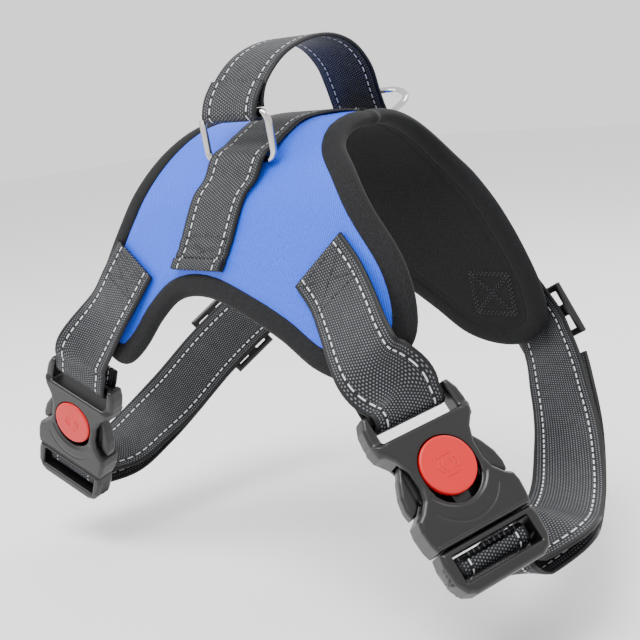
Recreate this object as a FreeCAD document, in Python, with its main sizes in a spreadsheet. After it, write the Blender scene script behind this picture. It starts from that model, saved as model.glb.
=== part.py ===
import FreeCAD, Part

"""Dog harness: padded saddle, grab handle, leash ring and two webbing loops with locking buckles.

Millimetres. +X points to the girth end, -Y to the near (buckle) side and +Z up. The origin is the
middle of the saddle's underside, where it rests on the dog's back.
"""

import math
import os

import Sketcher
from FreeCAD import Rotation, Vector

doc = FreeCAD.newDocument("harness")
sheet = doc.addObject("Spreadsheet::Sheet", "Dimensions")

DIMENSIONS = {
    "flat_half": 8,             # half width of the crown's flat, middle and girth end
    "neck_half": 0.5,           # the same at the neck end
    "neck_x": -115,             # where the neck end's section stands
    "middle_x": -10,            # where the full section begins
    "girth_x": 135,             # where the girth end's section stands
    "shoulder_radius": 52,      # bend from back to side, at the underside
    "shoulder_turn": 76,        # degrees of that bend
    "side_length": 118,         # straight side below the bend, before trimming
    "lining_thick": 1,
    "foam_thick": 4,
    "panel_thick": 1.2,
    "binding_width": 11,        # seen width of the edge binding
    "binding_proud": 0.8,       # how far the binding stands above and below the layers
    "layer_gap": 0.1,
    "web_width": 38,            # 1 1/2 inch webbing everywhere
    "web_thick": 2,
    "ring_wire": 3.8,           # rectangular handle ring
    "ring_wide": 50,
    "ring_tall": 28,
    "dee_wire": 4,              # leash ring
    "dee_wide": 48,
    "dee_deep": 37,
    "shell_thick": 15,          # buckle housing, front to back
    "shell_wide": 54,
    "shell_top": 35,            # housing's top edge above the button's centre
    "shell_mouth": 31,          # housing's mouth below the button's centre
    "waist_half": 17.5,
    "frame_slot_half": 21,
    "frame_slot_tall": 9,
    "frame_bar": 5,
    "rail_thick": 11,           # the frame's side rails, front to back
    "cavity_half": 19.6,
    "cavity_thick": 8,
    "cavity_top": 13,
    "button_radius": 13.4,
    "button_gap": 0.4,
    "button_travel": 3,
    "button_thick": 3.8,
    "button_proud": 0.7,
    "tongue_end": 53,           # tongue's lower edge below the button's centre
    "tongue_wide": 52,
    "tongue_thick": 13,
    "tongue_slot_half": 20.5,
    "tongue_slot_tall": 12.5,
    "tongue_bar": 6,
    "middle_bar_low": -42.5,
    "middle_bar_tall": 4,
    "middle_bar_thick": 3.4,
    "guide_half": 4.5,
    "guide_top": 8,
    "prong_thick": 6.4,
    "prong_root": 2.9,
    "slider_wide": 48,
    "slider_tall": 32,
    "slider_thick": 3.6,
    "slider_rail": 4,
    "slider_slot_tall": 8.4,
}

for row, (alias, value) in enumerate(DIMENSIONS.items(), start=1):
    cell = "A%d" % row
    sheet.set(cell, str(value))
    sheet.setAlias(cell, alias)
doc.recompute()

CLEAR = 0.4                     # gap left between pieces of different bodies
SLIDER_LIFT = 1.0               # gap between a slider and the strap it lies on
PRISM_REACH = 140               # from the middle plane to beyond either side of the saddle
SIDE_NAMES = {-1: "near", 1: "far"}

# Places of the two buckles: centre of the button on the buckle's mid plane, then yaw, pitch and roll.
BUCKLES = {
    "chest": (Vector(-133, -75, -162), Rotation(9.4, 26.1, 98.8)),
    "girth": (Vector(142, -90, -146), Rotation(68, -10, 52)),
}


def dim(alias):
    """A driving dimension, read from the sheet."""
    return float(sheet.get(alias))


def feature(name, shape, placement=None):
    """A sub-part whose shape is made with Part's functions."""
    obj = doc.addObject("Part::Feature", name)
    obj.Label = name
    obj.Shape = shape
    if placement is not None:
        obj.Placement = placement
    return obj


def fuse(name, pieces, placement):
    joined = doc.addObject("Part::MultiFuse", name)
    joined.Shapes = pieces
    joined.Label = name
    joined.Placement = placement
    return joined


def catmull_rom(before, start, end, after, t):
    """The point at t on the smooth span between start and end."""
    return (start * 2 + (end - before) * t
            + (before * 2 - start * 5 + end * 4 - after) * t * t
            + (start * 3 - before - end * 3 + after) * t * t * t) * 0.5


def smooth(values, samples):
    """Points along a smooth open curve through the given ones."""
    padded = [values[0] * 2 - values[1]] + list(values) + [values[-1] * 2 - values[-2]]
    result = []
    for index in range(1, len(padded) - 2):
        span = padded[index - 1:index + 3]
        result += [catmull_rom(*span, step / samples) for step in range(samples)]
    return result + [values[-1]]


def smooth_closed(values, samples):
    """Points along a smooth closed curve through the given ones."""
    count = len(values)
    result = []
    for index in range(count):
        span = [values[(index + shift) % count] for shift in (-1, 0, 1, 2)]
        result += [catmull_rom(*span, step / samples) for step in range(samples)]
    return result


# ---------------------------------------------------------------- saddle

# Side view of the near lobes (x, z): the cut-out behind the shoulders, the girth lobe, the arch over the
# foreleg, the chest lobe and the neck edge. It ends above the back, so the trim is clean there.
NEAR_OUTLINE = [
    (56, 24), (58, 6), (64, -5), (79, -17), (96, -36), (113, -56), (122, -76), (122, -93), (109, -107),
    (90, -115), (66, -111), (43, -99), (18, -89), (-9, -81), (-32, -83), (-48, -95), (-62, -112),
    (-76, -122),
    (-91, -120), (-105, -107), (-108, -84), (-97, -59), (-83, -35), (-68, -12), (-60, 3), (-58, 24),
]
# The far lobes hang a little lower and further forward, as soft goods do.
FAR_OUTLINE = [
    (56, 24), (56, 6), (59, -8), (66, -22), (77, -36), (88, -54), (98, -78), (105, -104), (104, -125),
    (90, -138), (70, -141), (48, -135), (28, -119), (4, -102), (-18, -95), (-36, -98), (-52, -110),
    (-66, -121),
    (-82, -124), (-97, -115), (-106, -98), (-104, -76), (-95, -54), (-82, -31), (-68, -10), (-60, 4),
    (-58, 24),
]


def section_at(half, angle, height, drop=0.0):
    """Where a section through the saddle stands at an angle from the crown: y and z on the far side.

    The height is measured out from the underside, and the drop down the straight side below the bend."""
    reach = dim("shoulder_radius") + height
    y = half + reach * math.sin(angle) + drop * math.cos(angle)
    z = reach * math.cos(angle) - dim("shoulder_radius") - drop * math.sin(angle)
    return y, z


def section_wire(x, half, low, high):
    """The closed outline of a layer from low to high above the underside, at one station along X."""
    turn = math.radians(dim("shoulder_turn"))
    side = dim("side_length")

    def point(yz, sign):
        return Vector(x, sign * yz[0], yz[1])

    edges = []
    for height in (high, low):
        foot = section_at(half, turn, height, side)
        bend = section_at(half, turn, height)
        middle = section_at(half, turn / 2, height)
        crown = section_at(half, 0, height)
        run = [
            Part.LineSegment(point(foot, -1), point(bend, -1)),
            Part.Arc(point(bend, -1), point(middle, -1), point(crown, -1)),
            Part.LineSegment(point(crown, -1), point(crown, 1)),
            Part.Arc(point(crown, 1), point(middle, 1), point(bend, 1)),
            Part.LineSegment(point(bend, 1), point(foot, 1)),
        ]
        edges.append([curve.toShape() for curve in run])
    far_foot = [point(section_at(half, turn, height, side), 1) for height in (high, low)]
    near_foot = [point(section_at(half, turn, height, side), -1) for height in (low, high)]
    closing_far = Part.LineSegment(far_foot[0], far_foot[1]).toShape()
    closing_near = Part.LineSegment(near_foot[0], near_foot[1]).toShape()
    return Part.Wire(edges[0] + [closing_far] + edges[1][::-1] + [closing_near])


def band(name, low, high):
    """An arched layer of the saddle, before it is trimmed to its outline."""
    stations = (
        (dim("neck_x"), dim("neck_half")),
        (dim("middle_x"), dim("flat_half")),
        (dim("girth_x"), dim("flat_half")),
    )
    wires = [section_wire(x, half, low, high) for x, half in stations]
    return feature(name, Part.makeLoft(wires, True, True))


def outline_wire(name, corners):
    points = smooth_closed([Vector(x, 0, z) for x, z in corners], 4)
    return feature(name, Part.makePolygon(points + points[:1]))


def prism(name, source, side):
    """An outline drawn out over its half of the saddle: -1 near, 1 far."""
    solid = doc.addObject("Part::Extrusion", name)
    solid.Base = source
    solid.Dir = Vector(0, side, 0)
    solid.LengthFwd = PRISM_REACH
    solid.Solid = True
    return solid


def inner_outline(name, outline, expression):
    offset = doc.addObject("Part::Offset2D", name)
    offset.Source = outline
    offset.Join = 0
    offset.setExpression("Value", expression)
    return offset


def boolean(kind, name, base, tool):
    obj = doc.addObject(kind, name)
    obj.Base = base
    obj.Tool = tool
    obj.Label = name
    return obj


def both_sides(name, outlines, expression=None):
    """The prisms of the near and the far outline in one."""
    halves = []
    for side, outline in outlines.items():
        if expression is not None:
            outline = inner_outline("%s_line_%s" % (name, SIDE_NAMES[side]), outline, expression)
        halves.append(prism("%s_%s" % (name, SIDE_NAMES[side]), outline, side))
    return fuse(name, halves, FreeCAD.Placement())


def make_saddle():
    gap = dim("layer_gap")
    lining_top = dim("lining_thick")
    foam_low = lining_top + gap
    foam_high = foam_low + dim("foam_thick")
    panel_low = foam_high + gap
    panel_high = panel_low + dim("panel_thick")
    proud = dim("binding_proud")

    outlines = {-1: outline_wire("near_lobes", NEAR_OUTLINE), 1: outline_wire("far_lobes", FAR_OUTLINE)}
    whole = both_sides("lobe_prism", outlines)
    inside = both_sides("panel_prism", outlines, "-Dimensions.binding_width - Dimensions.layer_gap")
    core = both_sides("binding_void", outlines, "-Dimensions.binding_width")
    for name, low, high in (
        ("inner_lining", 0, lining_top),
        ("foam_pad", foam_low, foam_high),
        ("outer_panel", panel_low, panel_high),
    ):
        boolean("Part::Common", name, band(name + "_band", low, high), inside)
    rim_band = band("binding_band", -proud, panel_high + proud)
    rim = boolean("Part::Common", "binding_blank", rim_band, whole)
    boolean("Part::Cut", "edge_binding", rim, core)


# --------------------------------------------------------------- webbing

def webbing(name, route, across=None, samples=3):
    """A flat strap: each stop of its route is a place and the way its outer face looks.

    A strap that lies askew has its own direction across, kept level along its whole length."""
    half_width = dim("web_width") / 2
    half_thick = dim("web_thick") / 2
    places = smooth([Vector(*stop[0]) for stop in route], samples)
    facings = smooth([Vector(*stop[1]) for stop in route], samples)
    wires = []
    for index, place in enumerate(places):
        ahead = places[min(index + 1, len(places) - 1)] - places[max(index - 1, 0)]
        ahead.normalize()
        facing = facings[index]
        side = ahead.cross(facing).normalize()
        facing = side.cross(ahead).normalize()
        if across is not None:
            side = across
        corners = [place + side * (sx * half_width) + facing * (sz * half_thick)
                   for sx, sz in ((-1, -1), (1, -1), (1, 1), (-1, 1))]
        wires.append(Part.makePolygon(corners + corners[:1]))
    return feature(name, Part.makeLoft(wires, True, True))


def on_buckle(which, stops):
    """Route stops given in a buckle's own frame, moved to where the buckle hangs."""
    centre, turn = BUCKLES[which]
    return [(tuple(centre + turn.multVec(Vector(*place))), tuple(turn.multVec(Vector(*facing))))
            for place, facing in stops]


def outer_ply(route, offset):
    """A second layer that lies outside a route."""
    return [(tuple(Vector(*place) + Vector(*facing).normalize() * offset), facing) for place,
        facing in route]


def half_at(x):
    """Half width of the crown's flat at a station along X."""
    along = (dim("middle_x") - x) / (dim("middle_x") - dim("neck_x"))
    return dim("flat_half") + (dim("neck_half") - dim("flat_half")) * min(max(along, 0.0), 1.0)


def outward(x, angle):
    """The way the saddle's surface looks on the far side: towards the neck end too, where it narrows."""
    taper = (dim("flat_half") - dim("neck_half")) / (dim("middle_x") - dim("neck_x"))
    lean = -taper if x < dim("middle_x") else 0.0
    return lean * math.sin(angle), math.sin(angle), math.cos(angle)


def on_back(x, degrees, height):
    """A stop on the saddle's bend, at an angle from the crown (negative is the near side)."""
    side = math.copysign(1, degrees)
    angle = math.radians(abs(degrees))
    y, z = section_at(half_at(x), angle, height)
    look_x, look_y, look_z = outward(x, angle)
    return (x, side * y, z), (look_x, side * look_y, look_z)


def on_side(side, x, z, height):
    """A stop on the near (-1) or far (1) lobes, at a level below the crown."""
    turn = math.radians(dim("shoulder_turn"))
    level = section_at(half_at(x), turn, height)[1]
    drop = (level - z) / math.sin(turn)
    y, z = section_at(half_at(x), turn, height, drop)
    look_x, look_y, look_z = outward(x, turn)
    return (x, side * y, z), (look_x, side * look_y, look_z)


ON_PANEL = 7.9                  # height of a strap's middle layer where it lies on the panel
ON_BINDING = 9.0                # the same where it crosses the edge binding
RING_X = 8                      # where the handle, its ring and the leash ring stand along X
RING_ANGLE = -48
RING_HEIGHT = 9.4               # lower bar of the handle ring, just above the panel
DEE_ANGLE = 37
DEE_HEIGHT = 14.4

HANDLE_RING_PLACE = Vector(*on_back(RING_X, RING_ANGLE, RING_HEIGHT)[0])
HANDLE_RING_TURN = 96
DEE_PLACE = Vector(*on_back(RING_X, DEE_ANGLE, DEE_HEIGHT)[0])
DEE_TURN = 22


def round_bar(centre, degrees, reach):
    """A stop on a strap that wraps a bar lying along X, at an angle up from +Y."""
    angle = math.radians(degrees)
    out = Vector(0, math.cos(angle), math.sin(angle))
    return tuple(centre + out * reach), tuple(out * -1)


# Round the housing's top bar, front to back, in the buckle's own frame.
TOP_FOLD = [((0, 52, 6), (0, 0.1, 1)), ((0, 42, 5.6), (0, 0, 1)), ((0, 34, 5.2), (0, -0.2, 1)),
            ((0, 29, 3.2), (0, -0.8, 0.6)), ((0, 27.6, 0), (0, -1, 0)), ((0, 29, -3.2), (0, -0.8, -0.6)),
            ((0, 34, -5.2), (0, 0.1, -1)), ((0, 44, -5.2), (0, 0, -1))]
# In from behind, above and below the tongue's middle bar; the two layers meet over the bar.
UPPER_ENTRY = [((1, -37.8, -14), (0, -1, 0)), ((0, -36.5, -5), (0, -1, 0)), ((0, -36.5, 0.4), (0, -1, 0))]
LOWER_ENTRY = [((1, -48, -14), (0, -1, 0)), ((0, -44.8, -5), (0, -1, 0)), ((0, -43.8, 0), (0, -0.7, 0.7)),
               ((0, -40.6, 1.6), (0, 0, 1)), ((0, -38.6, 1.6), (0, 0, 1))]
# The girth strap comes along the back of its buckle and turns into the tongue.
GIRTH_TURN = [((52, -40, -31), (0, -0.6, -0.8)), ((26, -43, -32), (0, -0.8, -0.6)),
              ((9, -42, -25), (0, -0.95, -0.3))]

HANDLE_TOP_BAR = HANDLE_RING_PLACE + Rotation(Vector(1, 0, 0), HANDLE_RING_TURN).multVec(
    Vector(0, dim("ring_tall") - dim("ring_wire"), 0))
WRAP = 3.5                      # from the handle ring's bar to the middle layer of the strap round it
DEE_WRAP = 3.8                  # the same at the leash ring's thicker bar

ROUTES = {
    "center_strap": [
        on_side(-1, -16, -66, ON_PANEL), on_side(-1, -10, -52, ON_PANEL), on_back(-3, -68, ON_PANEL),
        on_back(RING_X - 4, -58, ON_BINDING), on_back(RING_X, RING_ANGLE, RING_HEIGHT + WRAP),
        on_back(RING_X, -38, ON_BINDING), on_back(RING_X, -28, ON_PANEL), on_back(RING_X, -10, ON_PANEL),
        on_back(RING_X, 10, ON_PANEL), on_back(RING_X, 34, ON_PANEL), on_back(RING_X - 3, 54, ON_PANEL),
        on_back(0, 68, ON_PANEL), on_side(1, -7, -52, ON_PANEL), on_side(1, -13, -66, ON_PANEL),
    ],
    "handle_strap": [
        ((8.4, -50.6, 28.6), (0, 0.84, -0.54)), ((8, -56.8, 20.4), (0, 0.95, -0.3)),
        round_bar(HANDLE_TOP_BAR, 190, WRAP), round_bar(HANDLE_TOP_BAR, 230, WRAP),
        round_bar(HANDLE_TOP_BAR, 270, WRAP), round_bar(HANDLE_TOP_BAR, 310, WRAP),
        round_bar(HANDLE_TOP_BAR, 350, WRAP), ((8, -52.8, 19), (0, 1, -0.2)),
        ((8, -47.5, 29), (0, 0.8, -0.55)), ((9, -34, 40), (0, 0.5, -0.85)), ((10, -16, 46.5), (0, 0.2, -1)),
        ((11, 3, 48), (0, -0.12, -1)), ((12, 20, 43), (0, -0.45, -0.9)), ((12, 33, 32), (0, -0.75, -0.65)),
        ((9.5, 42.5, 19), (0, -0.92, -0.4)), ((8, 48.5, 9), (0, -0.93, -0.35)),
        round_bar(DEE_PLACE, 15, DEE_WRAP), round_bar(DEE_PLACE, -20, DEE_WRAP),
        round_bar(DEE_PLACE, -56, DEE_WRAP),
        on_back(RING_X, 36, 10.25), on_back(RING_X, 28, 10.3), on_back(RING_X, 20, 10.3),
    ],
    "chest_upper_strap": [
        on_side(-1, -69, -62, ON_PANEL + 0.7), on_side(-1, -79, -77, ON_PANEL + 2),
        on_side(-1, -90, -94, ON_BINDING + 2.8),
    ] + on_buckle("chest", TOP_FOLD),
    "girth_upper_strap": [
        on_side(-1, 67, -58, ON_PANEL), on_side(-1, 79, -69, ON_PANEL + 1.2),
        ((91, -83, -80.5), (0.04, -0.96, 0.26)), ((103, -92, -92), (0.08, -0.95, 0.27)),
        ((112, -95.5, -101), (0.22, -0.94, 0.26)), ((121, -89.8, -109.8), (0.53, -0.65, 0.54)),
    ] + on_buckle("girth", TOP_FOLD[2:]),
}

# The lower straps run from the far lobes, through the sliders, to the buckles' tongues.
LOWER_ROUTES = {
    "chest": [
        on_side(1, -74, -82, ON_PANEL + 0.3), on_side(1, -84, -98, ON_BINDING + 0.6),
        on_side(1, -95, -114, ON_BINDING + 2),
        ((-107, 62, -125), (-0.5, 0.8, -0.2)), ((-115, 46, -136), (-0.72, 0.55, -0.42)),
        ((-123, 28, -150), (-0.72, 0.55, -0.42)), ((-132, 4, -170), (-0.72, 0.5, -0.45)),
        ((-139, -18, -184), (-0.6, 0.3, -0.75)), ((-144, -38, -194), (-0.5, 0.15, -0.86)),
    ] + on_buckle("chest", UPPER_ENTRY),
    "girth": [
        on_side(1, 76, -94, ON_PANEL + 0.5), on_side(1, 85, -111, ON_BINDING + 1.2),
        on_side(1, 94, -128, ON_BINDING + 1.6),
        ((101, 88, -140), (-0.02, 0.98, 0.15)), ((108, 81, -151), (-0.1, 0.97, 0.05)),
        ((116, 71, -163), (-0.15, 0.95, -0.05)), ((127, 55, -176), (-0.25, 0.88, -0.2)),
        ((138, 35, -186), (-0.3, 0.75, -0.45)), ((149, 12, -192), (-0.3, 0.5, -0.75)),
        ((158, -12, -193), (-0.25, 0.3, -0.9)),
    ] + on_buckle("girth", GIRTH_TURN + UPPER_ENTRY),
}
PLY_START = 4                   # the returning layer leaves a lower strap at its slider
PLY_SPREAD = 8.5                  # how far the returning layer hangs outside the lower strap
SLIDER_STOPS = {"chest": 4, "girth": 2}  # the stop under the slider


def return_route(which):
    """The returning layer lies outside a lower strap, then enters the tongue below the middle bar."""
    route = LOWER_ROUTES[which]
    stretch = route[PLY_START:len(route) - len(UPPER_ENTRY)]
    return outer_ply(stretch, PLY_SPREAD) + on_buckle(which, LOWER_ENTRY)


def build_webbing():
    for name, route in ROUTES.items():
        webbing(name, route, Vector(1, 0, 0) if name == "center_strap" else None)
    for which, route in LOWER_ROUTES.items():
        webbing(which + "_lower_strap", route)
        webbing(which + "_return_ply", return_route(which))


# ----------------------------------------------------------------- rings

def rod(name, length, radius, place, turn):
    """A round bar, centred on its place and lying along its turned Z axis."""
    bar = doc.addObject("Part::Cylinder", name)
    bar.setExpression("Radius", radius)
    bar.setExpression("Height", length)
    doc.recompute()
    half = float(bar.Height) / 2
    bar.Placement = FreeCAD.Placement(Vector(*place) - turn.multVec(Vector(0, 0, half)), turn)
    return bar


def bend(name, radius, wire, place, start, sweep):
    """Part of a torus in the XY plane."""
    arc = doc.addObject("Part::Torus", name)
    arc.setExpression("Radius1", radius)
    arc.setExpression("Radius2", wire)
    arc.Angle3 = sweep
    arc.Placement = FreeCAD.Placement(Vector(*place), Rotation(start, 0, 0))
    return arc


ALONG_X = Rotation(Vector(0, 1, 0), 90)
ALONG_Y = Rotation(Vector(1, 0, 0), -90)
CORNER = 5                      # bend radius at the rectangular ring's corners


def make_handle_ring(placement):
    """A rectangular ring in its own XY plane, lower bar on the X axis."""
    wire = "Dimensions.ring_wire / 2"
    half = (dim("ring_wide") - dim("ring_wire")) / 2
    tall = dim("ring_tall") - dim("ring_wire")
    pieces = []
    for side, y in (("lower", 0), ("upper", tall)):
        length = "Dimensions.ring_wide - Dimensions.ring_wire - %g" % (2 * CORNER)
        pieces.append(rod(side + "_bar", length, wire, (0, y, 0), ALONG_X))
    for side, x in (("left", -half), ("right", half)):
        length = "Dimensions.ring_tall - Dimensions.ring_wire - %g" % (2 * CORNER)
        pieces.append(rod(side + "_rail", length, wire, (x, tall / 2, 0), ALONG_Y))
    corners = ((half, tall, 0), (-half, tall, 90), (-half, 0, 180), (half, 0, 270))
    for index, (x, y, start) in enumerate(corners):
        centre = (x - math.copysign(CORNER, x), tall - CORNER if y else CORNER, 0)
        pieces.append(bend("corner_%d" % index, "%g" % CORNER, wire, centre, start, 90))
    return fuse("handle_ring", pieces, placement)


def make_dee_ring(placement):
    """A D ring in its own XY plane, straight bar on the X axis and bow towards +Y."""
    wire = "Dimensions.dee_wire / 2"
    bow_radius = "(Dimensions.dee_wide - Dimensions.dee_wire) / 2"
    radius = (dim("dee_wide") - dim("dee_wire")) / 2
    leg = dim("dee_deep") - dim("dee_wire") / 2 - radius
    pieces = [rod("dee_bar", "Dimensions.dee_wide", wire, (0, 0, 0), ALONG_X)]
    for side, x in (("left", -radius), ("right", radius)):
        length = "Dimensions.dee_deep - Dimensions.dee_wire / 2 - " + bow_radius
        pieces.append(rod("dee_leg_" + side, length, wire, (x, leg / 2, 0), ALONG_Y))
    bow = bend("dee_bow", bow_radius, wire, (0, leg, 0), 0, 180)
    return fuse("d_ring", pieces + [bow], placement)


# --------------------------------------------------------------- buckles

def plane_of(body, role):
    return [item for item in body.Origin.OriginFeatures if item.Role == role][0]


def new_body(name, placement):
    body = doc.addObject("PartDesign::Body", name)
    body.Label = name
    body.Placement = placement
    return body


def sketch_on(body, name):
    sketch = body.newObject("Sketcher::SketchObject", name)
    sketch.AttachmentSupport = [(plane_of(body, "XY_Plane"), "")]
    sketch.MapMode = "FlatFace"
    return sketch


def polygon(sketch, points):
    """A closed outline whose corners are joined by coincidences."""
    count = len(points)
    for index in range(count):
        start = Vector(*points[index], 0)
        end = Vector(*points[(index + 1) % count], 0)
        sketch.addGeometry(Part.LineSegment(start, end), False)
    for index in range(count):
        sketch.addConstraint(Sketcher.Constraint("Coincident", index, 2, (index + 1) % count, 1))


def rectangle(sketch, low, high):
    """A rectangle between two corners given as (x expression, y expression)."""
    values = [[float(sketch.evalExpression(text)) for text in corner] for corner in (low, high)]
    (x0, y0), (x1, y1) = values
    polygon(sketch, [(x0, y0), (x1, y0), (x1, y1), (x0, y1)])
    for index, (x, y) in ((0, low), (2, high)):
        for kind, text in (("DistanceX", x), ("DistanceY", y)):
            value = float(sketch.evalExpression(text))
            number = sketch.addConstraint(Sketcher.Constraint(kind, index, 1, value))
            sketch.setExpression("Constraints[%d]" % number, text)
    for index, kind in enumerate(("Horizontal", "Vertical", "Horizontal", "Vertical")):
        sketch.addConstraint(Sketcher.Constraint(kind, index))


def mirrored(points):
    """An outline given for +X, closed by its mirror image."""
    return points + [(-x, y) for x, y in reversed(points)]


def pad(body, name, sketch, length, midplane=True, offset=None):
    made = body.newObject("PartDesign::Pad", name)
    made.Profile = sketch
    made.Midplane = midplane
    made.setExpression("Length", length)
    if offset is not None:
        sketch.AttachmentOffset = FreeCAD.Placement(Vector(0, 0, offset), Rotation())
    return made


def pocket(body, name, sketch, length=None):
    made = body.newObject("PartDesign::Pocket", name)
    made.Profile = sketch
    made.Midplane = True
    if length is None:
        made.Type = "ThroughAll"
    else:
        made.setExpression("Length", length)
    return made


def make_housing(which, placement):
    """The upper half of a buckle: strap frame, hollow shell with side windows and the button's bore."""
    body = new_body(which + "_buckle_housing", placement)
    half = dim("shell_wide") / 2
    waist = dim("waist_half")
    mouth = -dim("shell_mouth")
    slot_low = dim("shell_top") - dim("frame_bar") - dim("frame_slot_tall")
    outline = sketch_on(body, which + "_shell_outline")
    polygon(outline, mirrored([
        (half - 1, slot_low), (half - 3, 16), (waist + 2, 11), (waist, 4), (waist, -4), (waist + 1.5, -9),
        (half - 4, -13.4), (half - 0.6, -16), (half, -20), (half - 0.8, -27), (half - 2, mouth)]))
    pad(body, which + "_shell", outline, "Dimensions.shell_thick")
    rails = sketch_on(body, which + "_rails_outline")
    inner = dim("frame_slot_half")
    for side in (-1, 1):
        rail_points = [(side * x, y) for x, y in (
            (inner, slot_low - 2), (half - 1, slot_low - 2), (half - 0.6, slot_low + 3),
            (half - 1.6, dim("shell_top") - 3), (half - 3.4, dim("shell_top")), (inner, dim("shell_top")))]
        first = rails.GeometryCount
        count = len(rail_points)
        for index in range(count):
            ends = [Vector(*rail_points[k % count], 0) for k in (index, index + 1)]
            rails.addGeometry(Part.LineSegment(*ends), False)
        for index in range(count):
            following = first + (index + 1) % count
            rails.addConstraint(Sketcher.Constraint("Coincident", first + index, 2, following, 1))
    pad(body, which + "_rails", rails, "Dimensions.rail_thick")
    bar = sketch_on(body, which + "_bar_outline")
    rectangle(bar, ("-Dimensions.frame_slot_half - 1", "Dimensions.shell_top - Dimensions.frame_bar"),
              ("Dimensions.frame_slot_half + 1", "Dimensions.shell_top"))
    pad(body, which + "_bar", bar, "Dimensions.frame_bar")
    cavity = sketch_on(body, which + "_cavity_outline")
    rectangle(cavity, ("-Dimensions.cavity_half", "-Dimensions.shell_mouth - 1"),
              ("Dimensions.cavity_half", "Dimensions.cavity_top"))
    pocket(body, which + "_cavity", cavity, "Dimensions.cavity_thick")
    bore = sketch_on(body, which + "_button_bore_outline")
    radius = dim("button_radius") + dim("button_gap")
    travel = dim("button_travel") + dim("button_gap")
    axis = Vector(0, 0, 1)
    upper = Part.ArcOfCircle(Part.Circle(Vector(0, 0, 0), axis, radius), 0, math.pi)
    lower = Part.ArcOfCircle(Part.Circle(Vector(0, -travel, 0), axis, radius), math.pi, 2 * math.pi)
    bore.addGeometry(upper, False)
    bore.addGeometry(Part.LineSegment(Vector(-radius, 0, 0), Vector(-radius, -travel, 0)), False)
    bore.addGeometry(lower, False)
    bore.addGeometry(Part.LineSegment(Vector(radius, -travel, 0), Vector(radius, 0, 0)), False)
    opening = body.newObject("PartDesign::Pocket", which + "_button_bore")
    opening.Profile = bore
    opening.Reversed = True
    opening.setExpression("Length", "Dimensions.shell_thick")
    return body


MIDDLE_BAR_BACK = -4.4          # back face of the tongue's middle bar


def make_tongue(which, placement):
    """The lower half's base: strap slot, middle bar and the guide that enters the housing."""
    body = new_body(which + "_buckle_tongue", placement)
    half = dim("tongue_wide") / 2
    low = -dim("tongue_end")
    top = -dim("shell_mouth") - CLEAR
    outline = sketch_on(body, which + "_tongue_outline")
    polygon(outline, mirrored([(half - 1, top), (half, top - 6), (half - 1, low + 7), (half - 6, low)]))
    pad(body, which + "_tongue_base", outline, "Dimensions.tongue_thick")
    slot = sketch_on(body, which + "_tongue_slot_outline")
    rectangle(slot, ("-Dimensions.tongue_slot_half", "-Dimensions.tongue_end + Dimensions.tongue_bar"),
              ("Dimensions.tongue_slot_half",
               "-Dimensions.tongue_end + Dimensions.tongue_bar + Dimensions.tongue_slot_tall"))
    pocket(body, which + "_tongue_slot", slot)
    bar = sketch_on(body, which + "_middle_bar_outline")
    rectangle(bar, ("-Dimensions.tongue_slot_half - 1", "Dimensions.middle_bar_low"),
              ("Dimensions.tongue_slot_half + 1", "Dimensions.middle_bar_low + Dimensions.middle_bar_tall"))
    pad(body, which + "_middle_bar", bar, "Dimensions.middle_bar_thick", midplane=False,
        offset=MIDDLE_BAR_BACK)
    guide = sketch_on(body, which + "_guide_outline")
    rectangle(guide, ("-Dimensions.guide_half", "-Dimensions.shell_mouth - 2"),
              ("Dimensions.guide_half", "Dimensions.guide_top"))
    pad(body, which + "_guide", guide, "Dimensions.prong_thick")
    return body


PRONG_ROOT_X = 13.9             # centre of a prong's rounded root, where it flexes
PRONG_ROOT_Y = -28.1


def make_prong(which, side, placement):
    """A springy arm whose barbed tip fills the housing's side window."""
    name = "%s_prong_%s" % (which, "right" if side > 0 else "left")
    body = new_body(name, placement)
    outline = sketch_on(body, name + "_outline")
    points = [(11, PRONG_ROOT_Y), (16.8, PRONG_ROOT_Y), (17.4, -16), (18.9, -12.6), (19.2, -8),
        (23.6, -12.7),
              (26.2, -12.9), (26.6, -9), (25.6, -3), (22.6, 4), (18.4, 10.4), (15.6, 11), (13.4, 6),
              (12.6, -8)]
    polygon(outline, [(side * x, y) for x, y in points])
    pad(body, name + "_arm", outline, "Dimensions.prong_thick")
    root = sketch_on(body, name + "_root_outline")
    centre = Vector(side * PRONG_ROOT_X, PRONG_ROOT_Y, 0)
    root.addGeometry(Part.Circle(centre, Vector(0, 0, 1), dim("prong_root")), False)
    number = root.addConstraint(Sketcher.Constraint("Radius", 0, dim("prong_root")))
    root.setExpression("Constraints[%d]" % number, "Dimensions.prong_root")
    pad(body, name + "_root", root, "Dimensions.prong_thick")
    return body


def make_button(which, placement):
    """The round lock button, which slides in its oblong bore."""
    body = new_body(which + "_lock_button", placement)
    outline = sketch_on(body, which + "_button_outline")
    outline.addGeometry(Part.Circle(Vector(0, 0, 0), Vector(0, 0, 1), dim("button_radius")), False)
    number = outline.addConstraint(Sketcher.Constraint("Radius", 0, dim("button_radius")))
    outline.setExpression("Constraints[%d]" % number, "Dimensions.button_radius")
    low = dim("shell_thick") / 2 - dim("button_thick") + dim("button_proud")
    pad(body, which + "_button_disc", outline, "Dimensions.button_thick", midplane=False, offset=low)
    return body


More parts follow.
